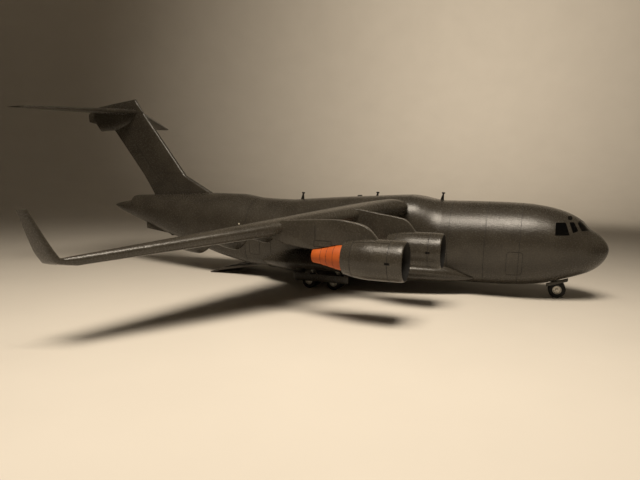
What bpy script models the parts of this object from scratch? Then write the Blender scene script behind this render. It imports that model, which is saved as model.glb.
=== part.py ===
"""A plastic scale model of a four-engine military transport plane, parked on its gear, ramp down.

Every size is the full-size plane's, in metres, and SCALE brings it down to the model.
Stations run aft from the nose tip, the port wing is on +Y, and the floor is z = 0.
"""

import math

import bmesh
import bpy
from mathutils import Matrix, Vector

# Driving dimensions of the full-size plane, in metres.
SCALE = 1 / 144
OVERALL_LENGTH = 52.46
FUSELAGE_WALL = 0.17
GAP = 0.0003 / SCALE
SEAM = 0.00005 / SCALE

CARGO_FLOOR_TOP = 1.62
CARGO_FLOOR_THICKNESS = 0.16
CARGO_FLOOR_START = 6.0
CARGO_FLOOR_END = 29.6
REAR_OPENING_EDGE = ((29.75, 2.72), (36.7, 2.62), (41.7, 1.75))
RAMP_HINGE = (30.0, 1.38)
RAMP_HALF_WIDTH = 2.5
RAMP_DOWN = math.radians(-10.6)
DOOR_HINGE = (41.55, 3.42)
DOOR_LENGTH = 4.75
DOOR_UP = math.radians(30)
SHEET_THICKNESS = 0.17

NACELLE_RADIUS = 1.33
NACELLE_LENGTH = 4.37
ENGINES = (("outboard", 13.63, 14.15, 4.32), ("inboard", 12.22, 8.52, 4.39))

MAIN_AXLES = (("front", 22.05), ("rear", 24.35))
MAIN_WHEEL_RADIUS = 0.61
MAIN_WHEEL_WIDTH = 0.38
MAIN_WHEEL_PLACES = (3.98, 4.68, 5.12)
MAIN_LEG_Y = 4.33
NOSE_AXLE = 3.65
NOSE_WHEEL_RADIUS = 0.7
NOSE_WHEEL_WIDTH = 0.42
NOSE_WHEEL_PLACES = (-0.4, 0.4)
AXLE_RADIUS = 0.1
AXLE_END = 0.03

SIDES = (("left", 1), ("right", -1))

# Paint and plastic: base colour, metallic, roughness.
FINISHES = {
    "grey_paint": ((0.115, 0.108, 0.098), 0.0, 0.5),
    "orange_primer": ((0.58, 0.14, 0.025), 0.0, 0.6),
    "tyre_rubber": ((0.012, 0.012, 0.012), 0.0, 0.8),
    "steel_paint": ((0.42, 0.42, 0.41), 0.7, 0.4),
    "interior_grey": ((0.3, 0.3, 0.29), 0.0, 0.6),
    "smoked_clear": ((0.02, 0.022, 0.025), 0.0, 0.12),
    "black_paint": ((0.02, 0.02, 0.02), 0.0, 0.5),
}


def new_collection(name, hidden):
    collection = bpy.data.collections.new(name)
    bpy.context.scene.collection.children.link(collection)
    collection.hide_render = hidden
    return collection


for old in list(bpy.data.objects):
    bpy.data.objects.remove(old, do_unlink=True)
PLANE = new_collection("transport_plane_model", False)
CUTTERS = new_collection("cutters", True)


def finish(name):
    material = bpy.data.materials.get(name)
    if material is None:
        colour, metallic, roughness = FINISHES[name]
        material = bpy.data.materials.new(name)
        material.use_nodes = True
        shader = material.node_tree.nodes["Principled BSDF"]
        shader.inputs["Base Color"].default_value = (*colour, 1)
        shader.inputs["Metallic"].default_value = metallic
        shader.inputs["Roughness"].default_value = roughness
    return material


def at(station, y, z):
    """A place on the plane, in the model's own metres: the nose points along +X."""
    return Vector(((OVERALL_LENGTH / 2 - station) * SCALE, y * SCALE, z * SCALE))


def keep(obj, paint=None):
    """Files an object with the plane's pieces, or with the cutters when it has no paint."""
    for collection in list(obj.users_collection):
        collection.objects.unlink(obj)
    (PLANE if paint else CUTTERS).objects.link(obj)
    if paint:
        obj.data.materials.clear()
        obj.data.materials.append(finish(paint))
        if obj.type == "MESH":
            obj.data.shade_smooth()
            obj.data.set_sharp_from_angle(angle=math.radians(35))
    else:
        obj.hide_render = True
        obj.display_type = "WIRE"
    return obj


def object_of(name, bm, paint):
    bm.normal_update()
    bmesh.ops.recalc_face_normals(bm, faces=bm.faces)
    if bm.calc_volume(signed=True) < 0:
        bmesh.ops.reverse_faces(bm, faces=bm.faces)
    mesh = bpy.data.meshes.new(name)
    bm.to_mesh(mesh)
    bm.free()
    return keep(bpy.data.objects.new(name, mesh), paint)


def loft(name, rings, paint=None):
    """Skins rings that each hold the same number of points, and caps both ends."""
    bm = bmesh.new()
    rows = [[bm.verts.new(point) for point in ring] for ring in rings]
    count = len(rings[0])
    for before, after in zip(rows, rows[1:]):
        for i in range(count):
            j = (i + 1) % count
            bm.faces.new((before[i], before[j], after[j], after[i]))
    bm.faces.new(rows[0])
    bm.faces.new(rows[-1])
    bmesh.ops.triangulate(bm, faces=[f for f in bm.faces if len(f.verts) > 4])
    return object_of(name, bm, paint)


def box(name, stations, ys, zs, paint=None):
    bm = bmesh.new()
    bmesh.ops.create_cube(bm, size=1)
    low, high = at(max(stations), min(ys), min(zs)), at(min(stations), max(ys), max(zs))
    for vertex in bm.verts:
        vertex.co = Vector((low[i] + (vertex.co[i] + 0.5) * (high[i] - low[i]) for i in range(3)))
    return object_of(name, bm, paint)


def plate(name, outline, thickness, turn, place, paint=None):
    """A flat outline of (u, v) points in metres, extruded about its own plane, turned and moved."""
    curve = bpy.data.curves.new(name, "CURVE")
    curve.dimensions = "2D"
    curve.fill_mode = "BOTH"
    curve.extrude = thickness * SCALE / 2
    spline = curve.splines.new("POLY")
    spline.points.add(len(outline) - 1)
    for point, (u, v) in zip(spline.points, outline):
        point.co = (u * SCALE, v * SCALE, 0, 1)
    spline.use_cyclic_u = True
    drawn = bpy.data.objects.new(name + "_outline", curve)
    CUTTERS.objects.link(drawn)
    graph = bpy.context.evaluated_depsgraph_get()
    mesh = bpy.data.meshes.new_from_object(drawn.evaluated_get(graph))
    bpy.data.objects.remove(drawn)
    bm = bmesh.new()
    bm.from_mesh(mesh)
    bmesh.ops.remove_doubles(bm, verts=bm.verts, dist=1e-6)
    bm.transform(Matrix.Translation(place) @ turn)
    return object_of(name, bm, paint)


SIDE_VIEW = Matrix.Rotation(math.pi, 4, "Z") @ Matrix.Rotation(math.pi / 2, 4, "X")


def side_plate(name, outline, y, thickness, paint=None):
    """A plate drawn in side view, as (station, height) points."""
    return plate(name, outline, thickness, SIDE_VIEW, at(0, y, 0), paint)


def turned(name, profile, centre, turn, paint=None, steps=24):
    """A shape turned about its own Z axis from (radius, height) points, top to bottom outside."""
    mesh = bpy.data.meshes.new(name)
    closed = profile[0][0] > 0
    edges = [(i, i + 1) for i in range(len(profile) - 1)]
    if closed:
        edges.append((len(profile) - 1, 0))
    mesh.from_pydata([(r * SCALE, 0, h * SCALE) for r, h in profile], edges, [])
    obj = bpy.data.objects.new(name, mesh)
    screw = obj.modifiers.new("turn", "SCREW")
    screw.steps = steps
    screw.render_steps = steps
    screw.use_merge_vertices = True
    screw.merge_threshold = 1e-6
    CUTTERS.objects.link(obj)
    graph = bpy.context.evaluated_depsgraph_get()
    turned_mesh = bpy.data.meshes.new_from_object(obj.evaluated_get(graph))
    bpy.data.objects.remove(obj)
    bm = bmesh.new()
    bm.from_mesh(turned_mesh)
    bmesh.ops.remove_doubles(bm, verts=bm.verts, dist=1e-7)
    result = object_of(name, bm, paint)
    result.matrix_world = Matrix.Translation(centre) @ turn
    return result


NOSEWARD = Matrix.Rotation(math.pi / 2, 4, "Y")
PORTWARD = Matrix.Rotation(-math.pi / 2, 4, "X")


def change(obj, operation, *others, solver="EXACT"):
    for other in others:
        modifier = obj.modifiers.new(operation.lower(), "BOOLEAN")
        modifier.operation = operation
        modifier.solver = solver
        modifier.object = other
    return obj


def cut(obj, *cutters, solver="EXACT"):
    return change(obj, "DIFFERENCE", *cutters, solver=solver)


def join(obj, *others):
    return change(obj, "UNION", *others)


def between(table, station):
    """The row at a station, read by straight lines between the rows of a table."""
    for before, after in zip(table, table[1:]):
        if station <= after[0]:
            t = (station - before[0]) / (after[0] - before[0])
            return [a + (b - a) * t for a, b in zip(before, after)]
    return list(table[-1])


# Fuselage sections: station, top, bottom, half width, squareness of the lower half.
FUSELAGE = (
    (0.0, 4.30, 4.14, 0.08, 2.0),
    (0.1, 4.62, 3.68, 0.50, 2.0),
    (0.45, 5.11, 3.08, 1.05, 2.0),
    (1.0, 5.60, 2.58, 1.62, 2.0),
    (1.55, 5.88, 2.27, 2.02, 2.0),
    (2.15, 6.50, 2.03, 2.35, 2.0),
    (3.0, 7.01, 1.74, 2.70, 2.1),
    (4.0, 7.38, 1.42, 3.00, 2.2),
    (5.0, 7.60, 1.17, 3.22, 2.3),
    (6.6, 7.80, 0.97, 3.40, 2.5),
    (9.0, 7.86, 0.87, 3.45, 2.7),
    (13.5, 7.82, 0.85, 3.45, 3.0),
    (26.0, 7.46, 0.85, 3.45, 3.4),
    (29.0, 7.40, 0.86, 3.45, 4.0),
    (31.4, 7.46, 0.92, 3.42, 4.0),
    (34.0, 7.76, 1.34, 3.30, 4.0),
    (37.0, 7.76, 1.98, 3.04, 3.6),
    (41.4, 7.56, 3.12, 2.28, 3.0),
    (45.8, 7.32, 4.50, 1.36, 2.4),
    (46.9, 7.24, 4.86, 1.12, 2.2),
    (47.0, 6.92, 4.90, 1.08, 2.2),
    (49.3, 6.36, 5.74, 0.36, 2.0),
    (49.83, 6.18, 6.06, 0.08, 2.0),
)
RING_POINTS = 28


def fuselage_ring(station, grow):
    """One section of the fuselage: a half ellipse over a half superellipse."""
    _, top, bottom, half_width, squareness = between(FUSELAGE, station)
    middle, half_height = (top + bottom) / 2, (top - bottom) / 2 + grow
    points = []
    for i in range(RING_POINTS):
        angle = math.tau * i / RING_POINTS
        power = 2 / (2 if math.cos(angle) > 0 else squareness)
        across = math.copysign(abs(math.sin(angle)) ** power, math.sin(angle))
        up = math.copysign(abs(math.cos(angle)) ** power, math.cos(angle))
        points.append(at(station, (half_width + grow) * across, middle + half_height * up))
    return points


def belly_height(station, y):
    """The height of the underside of the fuselage, off to one side of the middle."""
    _, top, bottom, half_width, squareness = between(FUSELAGE, station)
    down = (1 - (y / half_width) ** squareness) ** (1 / squareness)
    return (top + bottom) / 2 - (top - bottom) / 2 * down


def fuselage_solid(name, grow, first=0.0, last=60.0, paint=None):
    stations = [row[0] for row in FUSELAGE if first < row[0] < last]
    stations = [max(first, 0.0), *[s for s in stations if s > first], min(last, FUSELAGE[-1][0])]
    rings = [fuselage_ring(s, grow) for s in sorted(set(stations))]
    return loft(name, rings, paint)


# Wing sections: distance from the middle, leading and trailing edge stations, the heights of
# those two edges, and half the greatest thickness.
WING = (
    (2.35, 13.40, 26.30, 6.95, 6.05, 0.88),
    (4.40, 16.00, 26.66, 7.31, 5.92, 0.77),
    (14.15, 21.95, 28.60, 6.08, 5.25, 0.53),
    (24.30, 28.56, 30.49, 4.81, 4.57, 0.27),
    (24.90, 28.95, 30.60, 4.82, 4.60, 0.17),
)
NOSE_SHARE = 0.162
TRAILING_EDGE_SHARE = 0.07
CHORD_STEPS = (0.006, 0.03, 0.08, NOSE_SHARE, 0.4, 0.7, 1.0)


def wing_thickness(u):
    """The share of the greatest thickness at a share u of the chord: a blunt nose, then a taper."""
    if u < NOSE_SHARE:
        return math.sqrt(1 - (1 - u / NOSE_SHARE) ** 2)
    return 1 - (1 - TRAILING_EDGE_SHARE) * ((u - NOSE_SHARE) / (1 - NOSE_SHARE)) ** 1.7


def wing_ring(row, side, grow):
    y, leading, trailing, leading_height, trailing_height, half = row
    over, under = [], []
    for u in CHORD_STEPS:
        station = leading + u * (trailing - leading) + (grow if u == 1 else 0)
        middle = leading_height + u * (trailing_height - leading_height)
        thick = half * wing_thickness(u) + grow
        over.append(at(station, side * y, middle + thick))
        under.append(at(station, side * y, middle - thick))
    return over[::-1] + [at(leading - grow, side * y, leading_height)] + under


def wing_solid(name, side, root_y, grow=0.0, paint=None):
    rows = [between(WING, root_y), *WING[1:]]
    return loft(name, [wing_ring(row, side, grow) for row in rows], paint)


# Flap track fairings under each wing: distance from the middle, depth below the trailing edge.
FAIRINGS = ((6.2, 1.15), (10.0, 1.15), (13.2, 1.15), (16.6, 0.78))
FAIRING_HALF_WIDTH = 0.27
# Their shape: distance ahead of the trailing edge, share of the depth, share of the width.
FAIRING_SHAPE = (
    (3.3, 0.0, 0.2),
    (2.9, 0.36, 0.7),
    (2.45, 0.8, 0.95),
    (2.0, 1.0, 1.0),
    (0.9, 0.86, 0.9),
    (-0.7, 0.25, 0.15),
)


def flap_fairing(name, side, y, depth):
    """A canoe-shaped fairing, deepest near its front, that ends just behind the trailing edge."""
    _, leading, trailing, leading_height, trailing_height, _ = between(WING, y)
    slope = (leading_height - trailing_height) / (trailing - leading)
    rings = []
    for ahead, deep, wide in FAIRING_SHAPE:
        top = trailing_height + slope * ahead
        bottom = trailing_height - depth * deep
        middle, half = (top + bottom) / 2, (top - bottom) / 2
        ring = []
        for i in range(8):
            angle = math.tau * (i + 0.5) / 8
            across = side * y + FAIRING_HALF_WIDTH * wide * math.sin(angle)
            ring.append(at(trailing - ahead, across, middle + half * math.cos(angle)))
        rings.append(ring)
    return loft(name, rings)


# Wing centre fairing over the fuselage: station, crown height, half width.
HUMP = (
    (13.1, 7.66, 0.9),
    (13.9, 7.80, 2.31),
    (16.8, 8.02, 2.31),
    (20.0, 7.86, 2.31),
    (25.0, 7.62, 2.31),
    (28.2, 7.34, 1.2),
)
HUMP_BOTTOM = 6.05
HUMP_CROWN_RADIUS = 6.0


def hump_solid(name, grow, paint=None):
    rings = []
    for station, crown, half in HUMP:
        half_grown = half + grow
        end = -1 if station == HUMP[0][0] else 1 if station == HUMP[-1][0] else 0
        ring = []
        for i in range(9):
            y = half_grown * (1 - i / 4)
            drop = HUMP_CROWN_RADIUS - math.sqrt(HUMP_CROWN_RADIUS**2 - y**2)
            ring.append(at(station + end * grow, y, crown - drop + grow))
        ring.append(at(station + end * grow, -half_grown, HUMP_BOTTOM - grow))
        ring.append(at(station + end * grow, half_grown, HUMP_BOTTOM - grow))
        rings.append(ring)
    return loft(name, rings, paint)


# Cockpit glass in side view, as (station, height).
GLASS_OUTLINE = ((1.42, 5.70), (1.95, 6.80), (3.0, 6.84), (4.62, 6.62), (4.62, 5.34), (2.7, 5.48))


def grown_outline(outline, grow):
    """The outline moved out from its middle by about the gap."""
    middle = [sum(p[i] for p in outline) / len(outline) for i in range(2)]
    moved = []
    for u, v in outline:
        away = Vector((u - middle[0], v - middle[1]))
        away += away.normalized() * grow * 1.3
        moved.append((middle[0] + away.x, middle[1] + away.y))
    return moved


def opening_prism(name):
    """The cut under the tail that the ramp and the cargo door fill."""
    rings = []
    for z in (0.0, 4.1):
        left = [at(s, y, z) for s, y in REAR_OPENING_EDGE]
        right = [at(s, -y, z) for s, y in reversed(REAR_OPENING_EDGE)]
        rings.append(left + right)
    return loft(name, rings)


WING_CUT_ROOT_Y = 2.0
WING_CUT_GROW = 1.2 * GAP
NOSE_BAY = ((2.75, 4.75), 0.82, (0.8, 2.7))
NOSE_BAY_WALL = 0.14
NOSE_DOOR_Y = 0.94


def fuselage():
    inside = fuselage_solid("fuselage_inside", -FUSELAGE_WALL, 1.0, 46.0)
    glass_cut = side_plate("glass_cut", grown_outline(GLASS_OUTLINE, GAP), 0, 8)
    hump_cut = hump_solid("hump_cut", GAP)
    rear_cut = opening_prism("rear_cut")
    stations, half, heights = NOSE_BAY
    bay_cut = box(
        "nose_bay_cut",
        (stations[0] - GAP, stations[1] + GAP),
        (-half - GAP, half + GAP),
        (heights[0], heights[1] + GAP),
    )
    for label, side in SIDES:
        shell = fuselage_solid(f"fuselage_half_{label}", 0.0, paint="grey_paint")
        other = box(f"other_half_{label}", (-5, 60), (side * SEAM, -side * 9), (-2, 12))
        wing_cut = wing_solid(f"wing_cut_{label}", side, WING_CUT_ROOT_Y, WING_CUT_GROW)
        cut(shell, other, inside, glass_cut, rear_cut, bay_cut)
        cut(shell, hump_cut, wing_cut, solver="MANIFOLD")


# The cockpit tub's blocks: name, stations, sideways, heights.
TUB_FLOOR = ((1.9, 5.3), (-2.9, 2.9), (4.35, 4.55))
TUB_BLOCKS = (
    ("bulkhead", (5.15, 5.32), (-3.2, 3.2), (4.36, 7.6)),
    ("panel", (2.2, 2.5), (-1.7, 1.7), (4.5, 5.35)),
    ("seat_left", (3.5, 4.1), (0.53, 1.17), (4.5, 5.0)),
    ("seat_back_left", (3.98, 4.16), (0.55, 1.15), (4.9, 5.85)),
    ("seat_right", (3.5, 4.1), (-1.17, -0.53), (4.5, 5.0)),
    ("seat_back_right", (3.98, 4.16), (-1.15, -0.55), (4.9, 5.85)),
)


def cockpit():
    glass = side_plate("cockpit_glazing", GLASS_OUTLINE, 0, 8, "smoked_clear")
    change(glass, "INTERSECT", fuselage_solid("glass_outside", 0.0, 0.45, 9.0))
    cut(glass, fuselage_solid("glass_inside", -FUSELAGE_WALL, 1.0, 9.0))

    # The tub is one moulding: floor, bulkhead, console and two seats, shaped to the shell.
    tub = box("cockpit_tub", *TUB_FLOOR, "interior_grey")
    join(tub, *[box(f"tub_{name}", *sizes) for name, *sizes in TUB_BLOCKS])
    change(tub, "INTERSECT", fuselage_solid("tub_limit", -FUSELAGE_WALL - GAP, 1.2, 9.0))


# The hold floor's front bulkhead and rear sill: stations, sideways, heights.
HOLD_BULKHEAD = ((6.0, 6.2), (-3.4, 3.4), (0.9, 5.9))
RAMP_SILL = ((29.3, 29.6), (-2.5, 2.5), (1.12, 1.60))


def cargo_hold():
    """The flat floor of the hold, with a bulkhead at its front and a sill that faces the ramp."""
    stations = (CARGO_FLOOR_START, CARGO_FLOOR_END)
    zs = (CARGO_FLOOR_TOP - CARGO_FLOOR_THICKNESS, CARGO_FLOOR_TOP)
    floor = box("cargo_floor", stations, (-3.4, 3.4), zs, "interior_grey")
    join(floor, box("hold_bulkhead", *HOLD_BULKHEAD), box("ramp_sill", *RAMP_SILL))
    change(floor, "INTERSECT", fuselage_solid("floor_limit", -FUSELAGE_WALL - GAP, 5.0, 33.0))


# The ramp in side view, as (distance from the hinge, height); its last stretch is the toe.
RAMP_PROFILE = (
    (0.13, 0.085),
    (5.3, 0.085),
    (6.5, -0.09),
    (6.5, -0.165),
    (5.25, -0.085),
    (0.13, -0.085),
)
RAMP_BARREL_RADIUS = 0.17
DOOR_HINGE_HALF_WIDTH = 1.5
DOOR_EDGE_HALF_WIDTH = 2.4
DOOR_BARREL_RADIUS = 0.12
LYING_AFT = Matrix.Rotation(math.pi, 4, "Z")


def hinged(sheet, hinge, angle, half_width, radius):
    """Gives a sheet the barrel it turns on and swings both about the hinge."""
    profile = ((0, half_width), (radius, half_width), (radius, -half_width), (0, -half_width))
    barrel = turned(sheet.name + "_barrel", profile, Vector(), PORTWARD, steps=12)
    join(sheet, barrel)
    station, height = hinge
    for obj in (sheet, barrel):
        swing = Matrix.Translation(at(station, 0, height)) @ Matrix.Rotation(angle, 4, "Y")
        obj.matrix_world = swing @ obj.matrix_world


def ramp_and_door():
    """Both sheets are drawn at their hinge and then swung on it."""
    width = 2 * RAMP_HALF_WIDTH
    ramp = plate("cargo_ramp", RAMP_PROFILE, width, SIDE_VIEW, Vector(), "grey_paint")
    hinged(ramp, RAMP_HINGE, RAMP_DOWN, RAMP_HALF_WIDTH - 0.05, RAMP_BARREL_RADIUS)

    outline = (
        (-0.1, DOOR_HINGE_HALF_WIDTH), (-DOOR_LENGTH, DOOR_EDGE_HALF_WIDTH),
        (-DOOR_LENGTH, -DOOR_EDGE_HALF_WIDTH), (-0.1, -DOOR_HINGE_HALF_WIDTH),
    )
    door = plate("cargo_door", outline, SHEET_THICKNESS, LYING_AFT, Vector(), "grey_paint")
    hinged(door, DOOR_HINGE, -DOOR_UP, DOOR_HINGE_HALF_WIDTH, DOOR_BARREL_RADIUS)


# Gear pod sections: station, outer side, top, bottom.
POD = (
    (11.9, 3.30, 2.35, 1.60),
    (13.4, 4.15, 2.75, 1.15),
    (16.0, 4.95, 3.05, 0.96),
    (20.0, 5.56, 3.20, 0.92),
    (25.7, 5.56, 3.20, 0.92),
    (27.6, 4.95, 2.95, 1.08),
    (29.0, 4.20, 2.50, 1.30),
    (29.9, 3.55, 2.05, 1.60),
)
POD_INNER = 2.3
GEAR_DOOR_Y = 5.47
GEAR_DOOR_TOP = 1.35
GEAR_DOOR_OUTLINE = (
    (20.62, 0.58), (25.6, 0.55), (25.7, GEAR_DOOR_TOP - GAP), (20.6, GEAR_DOOR_TOP - GAP),
)
WELL = ((20.95, 25.5), (3.62, 5.42), (-1.0, 1.95))


def gear_pods():
    body = fuselage_solid("pod_body_cut", GAP)
    stations, (inner, outer), heights = WELL
    for label, side in SIDES:
        rings = []
        for station, out, top, bottom in POD:
            middle, centre = (top + bottom) / 2, POD_INNER
            ring = []
            for i in range(16):
                angle = math.tau * i / 16
                across = math.copysign(abs(math.sin(angle)) ** 0.8, math.sin(angle))
                up = math.copysign(abs(math.cos(angle)) ** 0.8, math.cos(angle))
                reach = out - centre if across > 0 else 0.6
                ring.append(
                    at(station, side * (centre + reach * across), middle + (top - bottom) / 2 * up)
                )
            rings.append(ring)
        pod = loft(f"gear_pod_{label}", rings, "grey_paint")
        well = box(f"wheel_well_{label}", stations, (side * inner, side * outer), heights)
        skirt = box(f"skirt_cut_{label}", (20.55, 25.75), (side * 5.2, side * 7), (-1, GEAR_DOOR_TOP))
        cut(pod, body, well, skirt)
        name = f"main_gear_door_{label}"
        side_plate(name, GEAR_DOOR_OUTLINE, side * GEAR_DOOR_Y, 0.1, "grey_paint")


def main_gear():
    """Each axle turns with its three wheels, in the eye of a leg between the inner and middle ones."""
    for label, side in SIDES:
        for place, station in MAIN_AXLES:
            name = f"main_wheels_{place}_{label}"
            profile = wheel_row(MAIN_WHEEL_PLACES, MAIN_WHEEL_RADIUS, MAIN_WHEEL_WIDTH)
            turn = PORTWARD if side > 0 else Matrix.Rotation(math.pi / 2, 4, "X")
            turned(name, profile, at(station, 0, MAIN_WHEEL_RADIUS), turn, "tyre_rubber", 16)
            leg(
                f"main_leg_{place}_{label}",
                station,
                side * MAIN_LEG_Y,
                MAIN_WHEEL_RADIUS,
                WELL[2][1] - GAP,
                0.17,
            )


def wheel_row(places, radius, width):
    """Outline of wheels on one axle, from one end of the axle to the other."""
    shoulder, tread = width / 2, width * 0.3
    profile = [(0, places[-1] + width / 2 + AXLE_END)]
    profile.append((AXLE_RADIUS, profile[0][1]))
    for place in reversed(places):
        profile += [
            (AXLE_RADIUS, place + shoulder * 0.8),
            (radius * 0.6, place + shoulder),
            (radius * 0.93, place + shoulder * 0.85),
            (radius, place + tread),
            (radius, place - tread),
            (radius * 0.93, place - shoulder * 0.85),
            (radius * 0.6, place - shoulder),
            (AXLE_RADIUS, place - shoulder * 0.8),
        ]
    end = places[0] - width / 2 - AXLE_END
    return profile + [(AXLE_RADIUS, end), (0, end)]


def leg(name, station, y, axle_height, top, radius):
    """A strut that ends in an eye round the axle."""
    half_eye = 0.11
    bore, rim = AXLE_RADIUS + GAP, AXLE_RADIUS + GAP + 0.13
    ring = ((rim, half_eye), (rim, -half_eye), (bore, -half_eye), (bore, half_eye))
    eye = turned(name, ring, at(station, y, axle_height), PORTWARD, "steel_paint", 16)
    collar, foot = axle_height + 0.75, axle_height + rim * 0.8
    profile = ((0, top), (radius, top), (radius, collar), (0.11, collar), (0.11, foot), (0, foot))
    join(eye, turned(name + "_post", profile, at(station, y, 0), Matrix(), steps=12))


def nose_gear():
    stations, half, heights = NOSE_BAY
    wall = NOSE_BAY_WALL
    bay = box("nose_gear_bay", stations, (-half, half), heights, "interior_grey")
    cut(
        bay,
        box(
            "nose_bay_hollow",
            (stations[0] + wall, stations[1] - wall),
            (-half + wall, half - wall),
            (heights[0] - 1, heights[1] - wall),
        ),
    )
    change(bay, "INTERSECT", fuselage_solid("nose_bay_limit", 0.0, 0.45, 9.0))
    profile = wheel_row(NOSE_WHEEL_PLACES, NOSE_WHEEL_RADIUS, NOSE_WHEEL_WIDTH)
    turned(
        "nose_wheels", profile, at(NOSE_AXLE, 0, NOSE_WHEEL_RADIUS), PORTWARD, "tyre_rubber", 20
    )
    leg("nose_leg", NOSE_AXLE, 0, NOSE_WHEEL_RADIUS, heights[1] - wall - GAP, 0.15)
    for label, side in SIDES:
        outline = []
        for station, drop in ((2.9, GAP), (4.6, GAP), (4.6, 0.34), (2.9, 0.34)):
            outline.append((station, belly_height(station, NOSE_DOOR_Y - 0.1) - drop))
        side_plate(f"nose_gear_door_{label}", outline, side * NOSE_DOOR_Y, 0.08, "grey_paint")


def engines():
    skin, throat = 0.16, 1.16
    for place, station, y, height in ENGINES:
        for label, side in SIDES:
            name = f"{place}_{label}"
            rear, length = NACELLE_RADIUS * 0.74, NACELLE_LENGTH
            cowl_profile = (
                (NACELLE_RADIUS * 0.95, 0.0),
                (NACELLE_RADIUS, -0.18),
                (NACELLE_RADIUS, -2.3),
                (NACELLE_RADIUS * 0.9, -3.4),
                (rear, -length),
                (rear - 0.08, -length),
                (NACELLE_RADIUS * 0.9 - skin, -3.4),
                (throat, -2.3),
                (throat, -0.75),
                (throat - 0.05, -0.35),
                (throat + 0.03, -0.08),
            )
            centre = at(station, side * y, height)
            turned(f"engine_cowl_{name}", cowl_profile, centre, NOSEWARD, "grey_paint", 20)
            core_profile = (
                (0, -1.72),
                (throat - GAP, -1.72),
                (throat - GAP, -2.1),
                (0.7, -2.2),
                (0.82, -length + 0.02),
                (0.46, -length - 1.94),
                (0.38, -length - 1.94),
                (0.38, -length - 1.3),
                (0.12, -length - 1.3),
                (0, -length - 1.75),
            )
            turned(f"engine_core_{name}", core_profile, centre, NOSEWARD, "orange_primer", 16)
            fan_profile = (
                (0, -0.72),
                (0.2, -0.86),
                (0.34, -1.1),
                (0.36, -1.16),
                (throat - 0.06, -1.2),
                (throat - 0.06, -1.42),
                (0.3, -1.5),
                (0.14, -1.5),
                (0.14, -1.72 + GAP),
                (0, -1.72 + GAP),
            )
            turned(f"fan_{name}", fan_profile, centre, NOSEWARD, "steel_paint", 16)


# Pylons in side view, relative to the nacelle's nose and axis: (station, height).
PYLON_TOP = {
    "outboard": ((1.75, 1.0), (1.95, 1.42), (2.7, 2.1), (3.4, 2.3), (4.7, 2.44), (8.6, 2.22)),
    "inboard": ((2.0, 1.0), (2.2, 1.5), (3.0, 2.22), (4.6, 2.5), (7.3, 2.84), (8.6, 2.7)),
}
PYLON_REAR = {
    "outboard": ((9.0, 1.8), (10.4, 1.4), (8.2, 0.62), (6.3, 0.42), (4.6, 0.78)),
    "inboard": ((11.0, 1.9), (9.0, 0.8), (6.3, 0.42), (4.6, 0.78)),
}
PYLON_THICKNESS = 0.42


def pylons():
    for place, station, y, height in ENGINES:
        for label, side in SIDES:
            outline = [(station + s, height + z) for s, z in PYLON_TOP[place] + PYLON_REAR[place]]
            name = f"pylon_{place}_{label}"
            pylon = side_plate(name, outline, side * y, PYLON_THICKNESS, "grey_paint")
            grown = NACELLE_RADIUS + GAP
            shape = (
                (0, 1),
                (grown, 1),
                (grown, -2.3),
                (grown * 0.9, -3.4),
                (grown * 0.76, -NACELLE_LENGTH),
                (0.9, -NACELLE_LENGTH - 0.05),
                (0.55, -NACELLE_LENGTH - 2.2),
                (0, -NACELLE_LENGTH - 2.2),
            )
            centre = at(station, side * y, height)
            cowl_cut = turned(f"cowl_cut_{place}_{label}", shape, centre, NOSEWARD)
            wing_name = f"pylon_wing_cut_{place}_{label}"
            wing_cut = wing_solid(wing_name, side, WING[0][0], WING_CUT_GROW)
            cut(pylon, cowl_cut, wing_cut)


def wings():
    for label, side in SIDES:
        wing = wing_solid(f"wing_{label}", side, WING[0][0] + GAP, paint="grey_paint")
        for i, (y, depth) in enumerate(FAIRINGS):
            join(wing, flap_fairing(f"flap_fairing_{label}_{i}", side, y, depth))
    hump_solid("wing_centre_fairing", 0.0, "grey_paint")


# Winglet sections: distance from the middle, leading and trailing edge stations, height,
# half thickness, and how far the surface leans up from level.
WINGLET = (
    (24.90 + GAP, 28.95, 30.60, 4.82, 0.17, 0.0),
    (25.10, 29.00, 30.58, 4.88, 0.17, 0.50),
    (25.20, 29.06, 30.56, 5.05, 0.16, 0.95),
    (25.33, 29.22, 30.55, 5.45, 0.14, 1.22),
    (25.82, 29.95, 30.65, 7.42, 0.05, 1.30),
)
WINGLET_TRAILING_DROP = 0.22
WINGLET_STEPS = (0.015, 0.08, 0.2, 0.6, 1.0)


def winglets():
    for label, side in SIDES:
        rings = []
        for y, leading, trailing, height, half, lean in WINGLET:
            out = Vector((0, side * math.sin(lean), -math.cos(lean))) * half * SCALE
            drop = WINGLET_TRAILING_DROP * math.cos(lean)
            inner, outer = [], []
            for u in WINGLET_STEPS:
                middle = at(leading + u * (trailing - leading), side * y, height - drop * u)
                inner.append(middle - out * wing_thickness(u))
                outer.append(middle + out * wing_thickness(u))
            rings.append(inner[::-1] + [at(leading, side * y, height)] + outer)
        loft(f"winglet_{label}", rings, "grey_paint")


# Tail bullet sections: station, top, bottom, half width.
BULLET = (
    (45.45, 15.75, 15.35, 0.10),
    (46.25, 16.97, 15.0, 0.22),
    (47.0, 16.85, 14.5, 0.32),
    (48.8, 16.60, 13.95, 0.40),
    (50.9, 16.28, 13.80, 0.40),
    (51.5, 16.18, 14.55, 0.34),
    (52.46, 15.6, 14.75, 0.12),
)
# Fin sections: height, leading edge, trailing edge, half thickness.
FIN = (
    (6.6, 38.5, 44.2, 0.34),
    (8.9, 40.1, 45.4, 0.32),
    (13.0, 43.3, 48.5, 0.28),
    (15.5, 45.2, 50.4, 0.26),
)
FIN_FILLET = ((36.6, 7.2), (37.5, 7.78), (40.6, 9.4), (42.5, 9.2), (42.5, 7.0))
FIN_FILLET_THICKNESS = 0.42


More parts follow.
